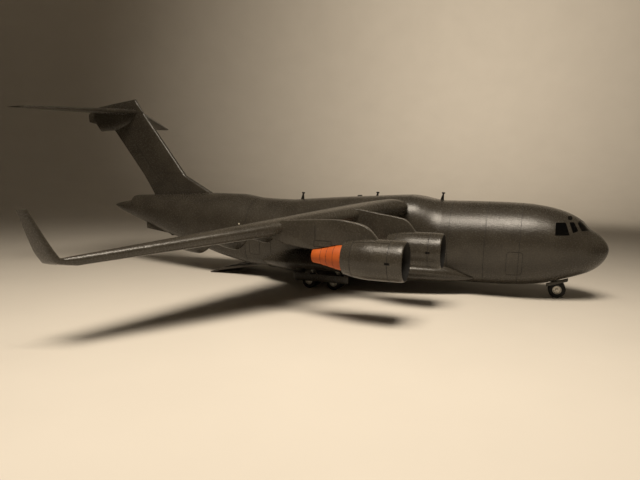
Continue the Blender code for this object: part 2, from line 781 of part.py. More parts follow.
def symmetric_section(leading, trailing, half):
    """A blunt-nosed section as (station, offset) points."""
    chord = trailing - leading
    steps = ((0, 0), (0.01, 0.5), (0.05, 0.88), (0.2, 1.0), (0.6, 0.7), (1, 0.14))
    over = [(leading + u * chord, half * v) for u, v in steps]
    under = [(leading + u * chord, -half * v) for u, v in steps[1:]]
    return over + under[::-1]


# Tailplane sections: distance from the middle, leading edge, trailing edge, height, half thickness.
TAILPLANE = (
    (0.1, 45.9, 51.35, 15.72, 0.30),
    (3.5, 47.35, 51.6, 15.46, 0.22),
    (9.42, 50.05, 52.0, 14.98, 0.09),
)
TAILPLANE_ROOT_Y = FIN[-1][3] + GAP


def bullet_solid(name, grow, paint=None):
    rings = []
    for i, (station, top, bottom, half) in enumerate(BULLET):
        end = -grow if i == 0 else grow if i == len(BULLET) - 1 else 0
        middle, tall = (top + bottom) / 2, (top - bottom) / 2 + grow
        ring = []
        for k in range(12):
            angle = math.tau * k / 12
            up = math.copysign(abs(math.cos(angle)) ** 0.7, math.cos(angle))
            across = math.copysign(abs(math.sin(angle)) ** 0.7, math.sin(angle))
            ring.append(at(station + end, (half + grow) * across, middle + tall * up))
        rings.append(ring)
    return loft(name, rings, paint)


def tail():
    bullet_solid("tail_bullet_fairing", 0, "grey_paint")
    bullet_cut = bullet_solid("bullet_cut", GAP)

    rings = []
    for height, leading, trailing, half in FIN:
        section = symmetric_section(leading, trailing, half)
        rings.append([at(station, offset, height) for station, offset in section])
    fin = loft("fin", rings, "grey_paint")
    fillet = side_plate("fin_fillet", FIN_FILLET, 0, FIN_FILLET_THICKNESS)
    join(fin, fillet)
    cut(fin, bullet_cut, fuselage_solid("fin_body_cut", GAP))

    for label, side in SIDES:
        rings = []
        for y, leading, trailing, height, half in TAILPLANE:
            section = symmetric_section(leading, trailing, half)
            rings.append([at(station, side * y, height + offset) for station, offset in section])
        plane = loft(f"tailplane_{label}", rings, "grey_paint")
        middle = box(f"tail_middle_{label}", (40, 60), (-side, side * TAILPLANE_ROOT_Y), (10, 20))
        cut(plane, middle, bullet_cut)


STRAKE_OUTLINE = ((41.8, 4.3), (41.8, 3.6), (44.5, 4.08), (44.5, 5.2))
STRAKE_Y = 1.15
# Blade aerials on the spine: station, height of the foot, height of the top.
AERIALS = ((13.8, 7.86, 8.40), (19.83, 7.92, 8.3), (27.3, 7.5, 8.0))
# An aerial in side view: distance aft of its middle, and height above its foot or below its top.
AERIAL_FOOT = ((0.2, 0), (-0.2, 0))
AERIAL_HEAD = ((-0.22, -0.12), (-0.36, -0.1), (-0.34, 0), (0.16, 0), (0.14, -0.1), (0.0, -0.12))


def small_parts():
    body = fuselage_solid("strake_body_cut", GAP)
    for label, side in SIDES:
        strake = side_plate(f"tail_strake_{label}", STRAKE_OUTLINE, side * STRAKE_Y, 0.12, "grey_paint")
        cut(strake, body)
    for i, (station, foot, top) in enumerate(AERIALS):
        shape = [(station + aft, foot + up) for aft, up in AERIAL_FOOT]
        shape += [(station + aft, top + up) for aft, up in AERIAL_HEAD]
        side_plate(f"aerial_{i + 1}", shape, 0, 0.16, "black_paint")


fuselage()
cockpit()
cargo_hold()
ramp_and_door()
gear_pods()
main_gear()
nose_gear()
engines()
pylons()
wings()
winglets()
tail()
small_parts()
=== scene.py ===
"""A built plastic kit of a four-engine military transport plane on its gear, with its ramp down."""

import math

import bmesh
import bpy
from mathutils import Matrix, Vector


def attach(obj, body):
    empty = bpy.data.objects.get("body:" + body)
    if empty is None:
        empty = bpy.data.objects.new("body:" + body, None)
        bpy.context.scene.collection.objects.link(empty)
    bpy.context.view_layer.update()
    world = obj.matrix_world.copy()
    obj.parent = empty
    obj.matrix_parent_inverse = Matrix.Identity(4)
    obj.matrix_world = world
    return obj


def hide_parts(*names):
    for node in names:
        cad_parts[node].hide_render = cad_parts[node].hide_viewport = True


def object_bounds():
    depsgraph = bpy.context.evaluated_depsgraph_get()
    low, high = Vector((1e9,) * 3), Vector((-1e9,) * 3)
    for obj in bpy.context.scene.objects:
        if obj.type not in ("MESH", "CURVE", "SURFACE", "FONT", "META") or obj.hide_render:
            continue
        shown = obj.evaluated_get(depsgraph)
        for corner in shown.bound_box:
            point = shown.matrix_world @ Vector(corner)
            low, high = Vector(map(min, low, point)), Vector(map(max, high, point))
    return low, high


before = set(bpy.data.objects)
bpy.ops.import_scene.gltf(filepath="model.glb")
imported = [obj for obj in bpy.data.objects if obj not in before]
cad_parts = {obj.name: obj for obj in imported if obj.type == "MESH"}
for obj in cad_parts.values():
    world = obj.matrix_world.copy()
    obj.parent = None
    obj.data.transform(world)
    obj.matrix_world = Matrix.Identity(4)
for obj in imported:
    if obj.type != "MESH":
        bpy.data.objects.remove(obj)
cad_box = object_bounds()

# Fuselage halves
# Two injection-moulded polystyrene half shells, cemented along the spine and the keel. The panel
# lines are scribed in the mould, and satin acrylic is sprayed over the closed body.
SCALE = 1 / 144
MM = 0.001
NOSE_X = cad_box[1].x
SIDES = (("left", 1), ("right", -1))
FUSELAGE_WALL = 0.17
SKIN_STEP = 0.36
RING_POINTS = 144
HALF_SEAM = 0.006
GROOVE_WIDTH = 0.26 * MM
GROOVE_DEPTH = 0.17 * MM

# Sections of the full-size plane, in metres: station aft of the nose, top, bottom, half width,
# squareness of the lower half.
FUSELAGE = (
    (0.0, 4.24, 4.20, 0.02, 2.0),
    (0.1, 4.62, 3.68, 0.50, 2.0),
    (0.45, 5.11, 3.08, 1.05, 2.0),
    (1.0, 5.60, 2.58, 1.62, 2.0),
    (1.55, 5.88, 2.27, 2.02, 2.0),
    (2.15, 6.50, 2.03, 2.35, 2.0),
    (3.0, 7.01, 1.74, 2.70, 2.1),
    (4.0, 7.38, 1.42, 3.00, 2.2),
    (5.0, 7.60, 1.17, 3.22, 2.3),
    (6.6, 7.80, 0.97, 3.40, 2.5),
    (9.0, 7.86, 0.87, 3.45, 2.7),
    (13.5, 7.82, 0.85, 3.45, 3.0),
    (26.0, 7.46, 0.85, 3.45, 3.4),
    (29.0, 7.40, 0.86, 3.45, 4.0),
    (31.4, 7.46, 0.92, 3.42, 4.0),
    (34.0, 7.76, 1.34, 3.30, 4.0),
    (37.0, 7.76, 1.98, 3.04, 3.6),
    (41.4, 7.56, 3.12, 2.28, 3.0),
    (45.8, 7.32, 4.50, 1.36, 2.4),
    (46.9, 7.24, 4.86, 1.12, 2.2),
    (47.0, 6.92, 4.90, 1.08, 2.2),
    (49.3, 6.36, 5.74, 0.36, 2.0),
    (49.83, 6.18, 6.06, 0.08, 2.0),
)
FRAME_LINES = (6.98, 9.72, 12.70, 29.07, 31.79)
FRAME_LINE_ANGLES = (0.04, 3.1)
HOLLOW_STATIONS = (1.0, 46.0)
HOLLOW_STEP = 0.8
HOLLOW_POINTS = 72
# Stations, heights and a distance from the middle that all lie clear of the body.
CLEAR_STATIONS = (-5, 60)
CLEAR_HEIGHTS = (-2, 12)
CLEAR_Y = 9
REAR_OPENING_EDGE = ((29.75, 2.72), (36.7, 2.62), (41.7, 1.75))
REAR_OPENING_HEIGHTS = (0.0, 4.1)
NOSE_BAY = ((2.75, 4.75), 0.82, (0.8, 2.7))
BAY_SEAM = 0.02


def at(station, y, z):
    """A place given in the full-size plane's metres: stations run aft from the nose, port is +y."""
    return Vector((NOSE_X - station * SCALE, y * SCALE, z * SCALE))


def linear(code):
    """The linear colour that shaders take, from an sRGB hex value."""
    channels = [int(code[i : i + 2], 16) / 255 for i in (1, 3, 5)]
    return (*[c / 12.92 if c <= 0.04045 else ((c + 0.055) / 1.055) ** 2.4 for c in channels], 1.0)


def add(tree, kind, inputs=None, **settings):
    """Adds a node with its settings, and links or sets each input that is named."""
    made = tree.nodes.new("ShaderNode" + kind)
    for name, value in settings.items():
        setattr(made, name, value)
    for name, value in (inputs or {}).items():
        if isinstance(value, bpy.types.NodeSocket):
            tree.links.new(value, made.inputs[name])
        else:
            made.inputs[name].default_value = value
    return made


def blank(name, **sockets):
    """A new material, its node tree and its shader, with sockets of the shader set by name."""
    material = bpy.data.materials.new(name)
    material.use_nodes = True
    tree = material.node_tree
    shader = tree.nodes["Principled BSDF"]
    for socket, value in sockets.items():
        shader.inputs[socket.replace("_", " ")].default_value = value
    return material, tree, shader


# The width of one pass of the spray, and how far the roughness strays either way in the grain.
PASS_WIDTH = 11 * MM
SHEEN_STRAY = 0.07


def sprayed(name, dark, light, roughness, grain_mm=0.5, grain_height_mm=0.05):
    """Sprayed paint: droplets dry as a fine pebble, over a slow drift of tone from pass to pass."""
    material, tree, shader = blank(name, IOR=1.47)
    place = add(tree, "TexCoord").outputs["Object"]
    droplets = {"Vector": place, "Scale": 1 / (grain_mm * MM), "Detail": 3.0, "Roughness": 0.65}
    grain = add(tree, "TexNoise", droplets).outputs["Fac"]
    passes = {"Vector": place, "Scale": 1 / PASS_WIDTH, "Detail": 2.0}
    passes = add(tree, "TexNoise", passes).outputs["Fac"]
    drift = {"Value": passes, "From Min": 0.3, "From Max": 0.7}
    drift = add(tree, "MapRange", drift).outputs["Result"]
    speck = {"Value": grain, "From Min": 0.3, "From Max": 0.7, "To Min": -0.35, "To Max": 0.35}
    speck = add(tree, "MapRange", speck).outputs["Result"]
    share = add(tree, "Math", {0: drift, 1: speck}, operation="ADD", use_clamp=True).outputs["Value"]
    tones = {"Fac": share, "Color1": linear(dark), "Color2": linear(light)}
    tree.links.new(add(tree, "MixRGB", tones).outputs["Color"], shader.inputs["Base Color"])
    sheen = {"Value": grain, "From Min": 0.3, "From Max": 0.7}
    sheen |= {"To Min": roughness - SHEEN_STRAY, "To Max": roughness + SHEEN_STRAY}
    tree.links.new(add(tree, "MapRange", sheen).outputs["Result"], shader.inputs["Roughness"])
    pebble = {"Height": grain, "Distance": grain_height_mm * MM, "Strength": 1.0}
    tree.links.new(add(tree, "Bump", pebble).outputs["Normal"], shader.inputs["Normal"])
    return material


# Satin grey acrylic, sprayed: its pebbled grain breaks each soft highlight into bright specks. The
# real droplets are about 0.1 mm across, too fine to show, so the pebble is drawn coarser.
GREY_PAINT = sprayed("satin_grey_sprayed_acrylic", "#34302a", "#3f3b34", 0.25, 0.7, 0.12)
# Thinned dark enamel, run into the scribed lines: it dries flat and nearly black.
LINE_WASH = sprayed("dark_enamel_panel_wash", "#12100e", "#1a1714", 0.7)
# Bare injection-moulded polystyrene inside: paler than the paint, with the mould's slight sheen.
BARE_STYRENE = sprayed("moulded_grey_polystyrene", "#7d7b75", "#8b8982", 0.5, 1.2, 0.01)


def steepness(table, column, k):
    return (table[k + 1][column] - table[k][column]) / (table[k + 1][0] - table[k][0])


def reading(table, place):
    """A table's row at a place in its first column, along smooth curves that overshoot no row."""
    last = len(table) - 1
    i = max([k for k in range(last) if table[k][0] <= place] or [0])
    width = table[i + 1][0] - table[i][0]
    t = min(max((place - table[i][0]) / width, 0.0), 1.0)
    row = [place]
    for column in range(1, len(table[0])):
        slopes = []
        for k in (i, i + 1):
            before = steepness(table, column, max(k - 1, 0))
            after = steepness(table, column, min(k, last - 1))
            slopes.append(2 * before * after / (before + after) if before * after > 0 else 0.0)
        start, end = table[i][column], table[i + 1][column]
        bow = ((1 - t) * slopes[0] - t * slopes[1]) * (1 - t) * t * width
        row.append(start + (end - start) * (3 - 2 * t) * t * t + bow)
    return row


def spread(places, step):
    """All the places in order, with more between them where they lie further apart than the step."""
    result = [places[0]]
    for start, end in zip(places, places[1:]):
        count = max(1, math.ceil((end - start) / step))
        result += [start + (end - start) * k / count for k in range(1, count + 1)]
    return result


def settle(piece, crease=32):
    """Applies a piece's modifiers, and shades it smooth up to its creases."""
    if piece.modifiers:
        graph = bpy.context.evaluated_depsgraph_get()
        piece.data = bpy.data.meshes.new_from_object(piece.evaluated_get(graph))
        piece.modifiers.clear()
    piece.data.shade_smooth()
    piece.data.set_sharp_from_angle(angle=math.radians(crease))
    return piece


def solid(name, bm, *materials):
    """Turns a bmesh into an object of the scene, with its faces pointing out."""
    bmesh.ops.recalc_face_normals(bm, faces=bm.faces)
    mesh = bpy.data.meshes.new(name)
    bm.to_mesh(mesh)
    bm.free()
    for material in materials:
        mesh.materials.append(material)
    made = bpy.data.objects.new(name, mesh)
    bpy.context.scene.collection.objects.link(made)
    return settle(made)


def loft(name, rings, *materials):
    """Skins rings that hold the same number of points, and closes both ends."""
    bm = bmesh.new()
    rows = [[bm.verts.new(point) for point in ring] for ring in rings]
    count = len(rings[0])
    for before, after in zip(rows, rows[1:]):
        for i in range(count):
            j = (i + 1) % count
            bm.faces.new((before[i], before[j], after[j], after[i]))
    bm.faces.new(rows[0])
    bm.faces.new(rows[-1])
    return solid(name, bm, *materials)


def slab(name, outline, y_range, *materials):
    """A side-view outline of (station, height) points, carried from one y to another."""
    return loft(name, [[at(s, y, z) for s, z in outline] for y in y_range], *materials)


def block(name, stations, ys, zs, *materials):
    """A box between two stations, two distances from the middle and two heights."""
    outline = [(stations[i], zs[k]) for i, k in ((0, 0), (0, 1), (1, 1), (1, 0))]
    return slab(name, outline, ys, *materials)


def carve(piece, *tools, operation="DIFFERENCE"):
    """Cuts or joins closed pieces, and keeps each tool's material where it leaves a face."""
    for tool in tools:
        modifier = piece.modifiers.new("carve", "BOOLEAN")
        modifier.operation = operation
        modifier.solver = "MANIFOLD"
        modifier.material_mode = "TRANSFER"
        modifier.object = tool
    settle(piece)
    for tool in tools:
        bpy.data.objects.remove(tool)
    return piece


def soften(piece, width, segments=3, crease=32):
    """Rounds a piece's creases, by a width in the full-size plane's metres."""
    bevel = piece.modifiers.new("rounded_edges", "BEVEL")
    bevel.width = width * SCALE
    bevel.segments = segments
    bevel.limit_method = "ANGLE"
    bevel.angle_limit = math.radians(crease)
    return settle(piece, crease)


def rounded(outline, radius, steps=4):
    """A closed outline with rounded corners; a corner on a turning axis stays as it is."""
    points = []
    for i, spot in enumerate(outline):
        corner = Vector(spot)
        if spot[0] == 0:
            points.append(spot)
            continue
        before = Vector(outline[i - 1]) - corner
        after = Vector(outline[(i + 1) % len(outline)]) - corner
        start = corner + before.normalized() * min(radius, before.length / 2.2)
        end = corner + after.normalized() * min(radius, after.length / 2.2)
        for k in range(steps + 1):
            t = k / steps
            points.append(tuple(start * (1 - t) ** 2 + corner * 2 * t * (1 - t) + end * t**2))
    return points


def trace(surface, path, closed=False, step_mm=0.9):
    """Points along a path of places on a surface, each with the surface's normal there."""
    path = [*path, path[0]] if closed else list(path)
    places = []
    for (u0, v0), (u1, v1) in zip(path, path[1:]):
        stops = [surface(u0 + (u1 - u0) * k / 4, v0 + (v1 - v0) * k / 4) for k in range(5)]
        length = sum((after - before).length for before, after in zip(stops, stops[1:]))
        count = max(1, math.ceil(length / (step_mm * MM)))
        places += [(u0 + (u1 - u0) * k / count, v0 + (v1 - v0) * k / count) for k in range(count)]
    places.append(path[-1])
    nudge = 1e-3
    line = []
    for u, v in places:
        across = surface(u + nudge, v) - surface(u - nudge, v)
        along = surface(u, v + nudge) - surface(u, v - nudge)
        line.append((surface(u, v), across.cross(along).normalized()))
    return line


def scribe(piece, lines, width=GROOVE_WIDTH, depth=GROOVE_DEPTH, material=LINE_WASH):
    """Cuts square grooves along lines that don't cross each other, and fills them with wash."""
    bm = bmesh.new()
    for line in lines:
        closed = (line[0][0] - line[-1][0]).length < 1e-7
        spots = line[:-1] if closed else line
        rows = []
        for i, (point, normal) in enumerate(spots):
            after = spots[(i + 1) % len(spots)][0] if closed or i < len(spots) - 1 else point
            before = spots[i - 1][0] if closed or i > 0 else point
            side = normal.cross(after - before).normalized() * width / 2
            lift = normal * depth
            corners = (side + lift, lift - side, -side - lift, side - lift)
            rows.append([bm.verts.new(point + corner) for corner in corners])
        for row, following in [*zip(rows, rows[1:]), *([(rows[-1], rows[0])] if closed else [])]:
            for i in range(4):
                j = (i + 1) % 4
                bm.faces.new((row[i], row[j], following[j], following[i]))
        if not closed:
            bm.faces.new(rows[0])
            bm.faces.new(rows[-1])
    return carve(piece, solid("scribing", bm, material))


def fit(piece, body, slot, *nodes):
    """Fixes a finished piece to its body of the frame, in place of the plain nodes it stands for."""
    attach(piece, body)
    if nodes:
        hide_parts(*nodes)
    return piece


# A nose is round, so its sections are read by the root of the distance from its tip.
FUSELAGE_BY_ROOT = [(math.sqrt(station), *section) for station, *section in FUSELAGE]


def squared(angle, power):
    """How far across and up a point of a round with squared corners lies, from -1 to 1."""
    sine, cosine = math.sin(angle), math.cos(angle)
    return math.copysign(abs(sine) ** power, sine), math.copysign(abs(cosine) ** power, cosine)


def fuselage_skin(station, angle, grow=0.0):
    """A place on the fuselage; the angle runs from the spine over the port side."""
    _, top, bottom, half_width, squareness = reading(FUSELAGE_BY_ROOT, math.sqrt(max(station, 0.0)))
    middle, half_height = (top + bottom) / 2, (top - bottom) / 2 + grow
    across, up = squared(angle, 2 / (2 if math.cos(angle) > 0 else squareness))
    return at(station, (half_width + grow) * across, middle + half_height * up)


def flank(side):
    """The fuselage's side as a surface that is read by station and height."""

    def place(station, height):
        _, top, bottom, half_width, squareness = reading(FUSELAGE_BY_ROOT, math.sqrt(station))
        middle = (top + bottom) / 2
        up = min(abs(height - middle) / ((top - bottom) / 2), 1.0)
        power = 2 if height > middle else squareness
        return at(station, side * half_width * (1 - up**power) ** (1 / power), height)

    return place


def skin_stations(first, last, step):
    """Stations for rings, closer together over the round of the nose."""
    roots = spread([math.sqrt(first), 1.0], 0.06) if first < 1 else []
    rows = [row[0] for row in FUSELAGE if max(first, 1.0) < row[0] < last]
    return [root * root for root in roots[:-1]] + spread([max(first, 1.0), *rows, last], step)


def body_solid(name, grow, first, last, *materials, step=SKIN_STEP, points=RING_POINTS):
    rings = []
    for station in skin_stations(first, last, step):
        rings.append([fuselage_skin(station, math.tau * i / points, grow) for i in range(points)])
    return loft(name, rings, *materials)


def rear_opening(name, *materials):
    rings = []
    for z in REAR_OPENING_HEIGHTS:
        port = [at(s, y, z) for s, y in REAR_OPENING_EDGE]
        rings.append(port + [at(s, -y, z) for s, y in reversed(REAR_OPENING_EDGE)])
    return loft(name, rings, *materials)


shells = {}
for label, side in SIDES:
    shell = body_solid(f"fuselage_shell_{label}", 0.0, 0.0, FUSELAGE[-1][0], GREY_PAINT)
    hollow = body_solid(
        "hollow", -FUSELAGE_WALL, *HOLLOW_STATIONS, BARE_STYRENE,
        step=HOLLOW_STEP, points=HOLLOW_POINTS,
    )
    other_ys = sorted((side * HALF_SEAM, -side * CLEAR_Y))
    other_half = block("other_half", CLEAR_STATIONS, other_ys, CLEAR_HEIGHTS, BARE_STYRENE)
    stations, half, heights = NOSE_BAY
    bay_stations = (stations[0] - BAY_SEAM, stations[1] + BAY_SEAM)
    bay_ys = (-half - BAY_SEAM, half + BAY_SEAM)
    bay = block("bay", bay_stations, bay_ys, (heights[0], heights[1] + BAY_SEAM), BARE_STYRENE)
    carve(shell, hollow, other_half, rear_opening("doorway", GREY_PAINT), bay)
    rings = []
    for station in FRAME_LINES:
        rings.append(trace(fuselage_skin, [(station, side * angle) for angle in FRAME_LINE_ANGLES]))
    scribe(shell, rings)
    shells[label] = fit(shell, "airframe", "dark_grey_paint", f"fuselage_half_{label}")

# Doors and hatches
# The crew door, the troop doors behind the gear pods and the escape hatches on the spine are
# outlines in the mould, and the crew door has two raised hinges at its foot.
DOOR_OUTLINES = (
    (0.28, ((6.66, 2.1), (6.66, 4.02), (7.91, 4.02), (7.91, 2.1))),
    (0.2, ((30.2, 2.3), (30.2, 4.45), (31.3, 4.45), (31.3, 2.3))),
)
HATCH_STATIONS = ((33.2, 34.0), (35.0, 35.8))
HATCH_ANGLES = (0.05, 0.26)
HINGE_STATIONS = (6.95, 7.6)
HINGE_LENGTH = 0.2
HINGE_HEIGHTS = (2.0, 2.2)
# How far a hinge reaches into the skin and out of it.
HINGE_REACH = (0.1, 0.035)
for label, side in SIDES:
    outlines = []
    for radius, outline in DOOR_OUTLINES:
        outlines.append(trace(flank(side), rounded(outline, radius), closed=True))
    scribe(shells[label], outlines)
    hatches = []
    for first, last in HATCH_STATIONS:
        inner, outer = (side * angle for angle in HATCH_ANGLES)
        corners = ((first, inner), (last, inner), (last, outer), (first, outer))
        hatches.append(trace(fuselage_skin, rounded(corners, 0.05), closed=True))
    scribe(shells[label], hatches)
    for i, station in enumerate(HINGE_STATIONS):
        y = flank(side)(station, sum(HINGE_HEIGHTS) / 2).y / SCALE
        ys = sorted((y - side * HINGE_REACH[0], y + side * HINGE_REACH[1]))
        name = f"crew_door_hinge_{i + 1}_{label}"
        hinge = block(name, (station, station + HINGE_LENGTH), ys, HINGE_HEIGHTS, GREY_PAINT)
        fit(soften(hinge, 0.02), "airframe", "dark_grey_paint")

# Cockpit canopy
# One clear moulding that drops into the opening over the nose. Its frames are masked and sprayed with the
# body, and only the panes stay clear; they are coloured glossy black, as painted shade of the dark cockpit
# behind them.
CANOPY_OUTLINE = (
    (1.40, 5.68), (1.95, 6.90), (3.0, 7.06), (3.7, 7.04), (4.62, 6.68), (4.62, 5.34), (2.7, 5.46),
)
CANOPY_SEAM = 0.008
PAINTED_FRAME = 0.034
CLEAR_THICKNESS = 0.1
CANOPY_YS = (-4, 4)
PANE_CORNER = 0.07
# Stations between which the solids run that shape the two mouldings: outside, then inside.
FRAME_SOLIDS = ((0.45, 9.0), (0.8, 9.2))
PANE_SOLIDS = ((0.8, 9.0), (1.0, 9.2))
PANE_GAP = 0.002
# Panes in side view, and how far from the middle they start.
PANES = (
    (((4.40, 6.43), (3.64, 6.46), (3.29, 5.50), (4.38, 5.45)), 1.2),
    (((3.36, 6.48), (2.99, 6.49), (2.66, 5.84), (3.05, 5.66)), 0.9),
    (((2.70, 6.38), (2.62, 6.52), (2.13, 6.66), (1.50, 6.02), (1.50, 5.84), (2.38, 5.82)), 0.03),
    (((3.50, 6.92), (3.14, 6.93), (3.13, 6.66), (3.45, 6.65)), 0.7),
)
# Moulded clear polystyrene, coloured glossy black as painted shade of the dark cockpit behind it, with
# flow waves that bend the glint.
CLEAR_STYRENE_SHADED_BLACK, tree, shader = blank(
    "clear_polystyrene_painted_cockpit_shade", Base_Color=linear("#060606"), Roughness=0.12, IOR=1.45
)
place = add(tree, "TexCoord").outputs["Object"]
flow = {"Vector": place, "Scale": 1 / (3 * MM), "Detail": 1.0}
flow = {"Height": add(tree, "TexNoise", flow).outputs["Fac"], "Distance": 0.03 * MM, "Strength": 0.6}
tree.links.new(add(tree, "Bump", flow).outputs["Normal"], shader.inputs["Normal"])

middle = sum((Vector(p) for p in CANOPY_OUTLINE), Vector((0, 0))) / len(CANOPY_OUTLINE)
opening = [tuple(Vector(p) + (Vector(p) - middle).normalized() * CANOPY_SEAM) for p in CANOPY_OUTLINE]
for label, side in SIDES:
    carve(shells[label], slab("canopy_opening", opening, CANOPY_YS, LINE_WASH))
pane_tools = []
for outline, inner in PANES:
    for _, side in SIDES:
        span = sorted((side * inner, side * CANOPY_YS[1]))
        pane_tools.append(slab("pane_opening", rounded(outline, PANE_CORNER), span, LINE_WASH))
frames = slab("canopy_frames", CANOPY_OUTLINE, CANOPY_YS, GREY_PAINT)
outer, inner = FRAME_SOLIDS
carve(frames, body_solid("outside", 0.0, *outer, GREY_PAINT), operation="INTERSECT")
carve(frames, body_solid("inside", -PAINTED_FRAME, *inner, GREY_PAINT), *pane_tools)
fit(frames, "airframe", "dark_grey_paint")
# The panes take the glossy black that paints the cockpit's shade.
panes = slab("window_panes", CANOPY_OUTLINE, CANOPY_YS, CLEAR_STYRENE_SHADED_BLACK)
outer, inner = PANE_SOLIDS
outside = body_solid("outside", -PAINTED_FRAME - PANE_GAP, *outer, CLEAR_STYRENE_SHADED_BLACK)
carve(panes, outside, operation="INTERSECT")
carve(panes, body_solid("inside", -PAINTED_FRAME - CLEAR_THICKNESS, *inner, CLEAR_STYRENE_SHADED_BLACK))
fit(panes, "airframe", "smoked_clear", "cockpit_glazing")

# Cockpit tub, hold floor and nose gear bay
# Three mouldings inside the shell, left in bare styrene. The hold floor has four raised rails that
# pallets roll on, cemented on as strips.
RAIL_PLACES = (0.55, 1.75)
RAIL_HALF_WIDTH = 0.09
RAIL_STATIONS = (7.2, 29.3)
RAIL_HEIGHTS = (1.62, 1.66)
for name in ("cockpit_tub", "cargo_floor", "nose_gear_bay"):
    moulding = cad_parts[name]
    moulding.data.materials.clear()
    moulding.data.materials.append(BARE_STYRENE)
for label, side in SIDES:
    for position, y in zip(("inner", "outer"), RAIL_PLACES):
        ys = sorted((side * (y - RAIL_HALF_WIDTH), side * (y + RAIL_HALF_WIDTH)))
        rail = block(f"hold_rail_{position}_{label}", RAIL_STATIONS, ys, RAIL_HEIGHTS, BARE_STYRENE)
        fit(soften(rail, 0.012, 2), "airframe", "interior_grey")

# Wings
# Each wing is a solid moulding with a blunt nose and a thin trailing edge. Slats, flaps, spoilers
# and ailerons are scribed on it, and it plugs into the side of the saddle over the body.
# Sections: distance from the middle, leading and trailing edge stations, the heights of those two
# edges, and half the greatest thickness.
WING = (
    (2.35, 16.70, 26.30, 6.95, 6.05, 0.84),
    (3.00, 16.40, 26.42, 7.06, 6.01, 0.83),
    (3.60, 16.10, 26.52, 7.17, 5.97, 0.81),
    (4.40, 16.00, 26.66, 7.31, 5.92, 0.77),
    (14.15, 21.95, 28.60, 6.08, 5.25, 0.53),
    (24.30, 28.56, 30.45, 4.81, 4.57, 0.27),
    (24.90, 28.95, 30.26, 4.82, 4.60, 0.17),
)
WING_ROOT_Y = 2.393
NOSE_SHARE = 0.162
TRAILING_SHARE = 0.07
CHORD_STEPS = 30
WING_STEP = 0.4
SLAT_SHARE = 0.14
SLAT_RUNS = ((5.0, 7.3), (9.6, 12.9), (15.3, 24.4))
FLAP_RUNS = ((3.9, 10.0), (10.25, 16.9))
AILERON_RUN = (17.4, 24.0)
SPOILER_RUNS = ((5.3, 7.5), (7.6, 9.8), (10.4, 12.8), (12.9, 15.3))
FLAP_SHARE = 0.74
FLAP_SHARE_BELOW = 0.8
SPOILER_SHARES = (0.62, 0.715)
# Tank covers: distance from the middle, share of the chord.
TANK_COVERS = ((8.0, 0.36), (11.5, 0.36), (15.0, 0.37), (18.5, 0.4))
TANK_COVER_SIZE = (0.3, 0.022)
TANK_COVER_POINTS = 16
# A single line below, along the foot of the wing's front spar.
SPAR_LINE = ((4.0, 0.3), (24.2, 0.3))


def straight(table, place):
    """A table's row at a place, by straight lines between its rows."""
    last = len(table) - 1
    i = max([k for k in range(last) if table[k][0] <= place] or [0])
    t = (place - table[i][0]) / (table[i + 1][0] - table[i][0])
    return [a + (b - a) * t for a, b in zip(table[i], table[i + 1])]


def wing_thickness(share):
    """The share of the greatest thickness at a share of the chord: a blunt nose, then a taper."""
    if share < NOSE_SHARE:
        return math.sqrt(1 - (1 - share / NOSE_SHARE) ** 2)
    return 1 - (1 - TRAILING_SHARE) * ((share - NOSE_SHARE) / (1 - NOSE_SHARE)) ** 1.7


def wing_skin(side, y, way):
    """A place on a wing; the way runs from -1 at the trailing edge below, by the nose, to 1 above."""
    _, leading, trailing, leading_height, trailing_height, half = straight(WING, y)
    share = way * way
    middle = leading_height + share * (trailing_height - leading_height)
    thick = math.copysign(half * wing_thickness(share), way)
    return at(leading + share * (trailing - leading), side * y, middle + thick)


def wing_face(side, turn):
    """A wing's upper face, or its lower one for a turn of -1, read by y and share of the chord."""
    return lambda y, share: wing_skin(side, y, turn * math.sqrt(max(share, 1e-4)))


def hinge_box(run, share):
    """Three sides of a flap: its ends and its hinge line."""
    return ((run[0], 0.995), (run[0], share), (run[1], share), (run[1], 0.995))


ways = [k / CHORD_STEPS for k in range(-CHORD_STEPS, CHORD_STEPS + 1)]
for label, side in SIDES:
    rings = []
    for y in spread([WING_ROOT_Y, *[row[0] for row in WING[1:]]], WING_STEP):
        rings.append([wing_skin(side, y, way) for way in ways])
    wing = loft(f"wing_moulding_{label}", rings, GREY_PAINT)
    top, bottom = wing_face(side, 1), wing_face(side, -1)
    lines = [trace(top, hinge_box(run, FLAP_SHARE)) for run in (*FLAP_RUNS, AILERON_RUN)]
    lines += [trace(top, ((first, SLAT_SHARE), (last, SLAT_SHARE))) for first, last in SLAT_RUNS]
    near, far = SPOILER_SHARES
    for first, last in SPOILER_RUNS:
        corners = ((first, near), (last, near), (last, far), (first, far))
        lines.append(trace(top, corners, closed=True))
    for y, share in TANK_COVERS:
        turns = [math.tau * k / TANK_COVER_POINTS for k in range(TANK_COVER_POINTS)]
        reach, depth = TANK_COVER_SIZE
        oval = [(y + reach * math.cos(a), share + depth * math.sin(a)) for a in turns]
        lines.append(trace(top, oval, closed=True))
    scribe(wing, lines)
    lines = [trace(bottom, hinge_box(run, FLAP_SHARE_BELOW)) for run in (*FLAP_RUNS, AILERON_RUN)]
    lines.append(trace(bottom, SPAR_LINE))
    scribe(wing, lines)
    fit(wing, "airframe", "dark_grey_paint", f"wing_{label}")

# Flap track fairings
# Four canoe-shaped mouldings under each wing, cemented over the flap tracks. Each is deepest near
# its front and runs out to a point just behind the trailing edge.
FAIRINGS = ((6.2, 1.15), (10.0, 1.15), (13.2, 1.15), (16.6, 0.78))
FAIRING_HALF_WIDTH = 0.27
FAIRING_POINTS = 28
FAIRING_STEP = 0.15
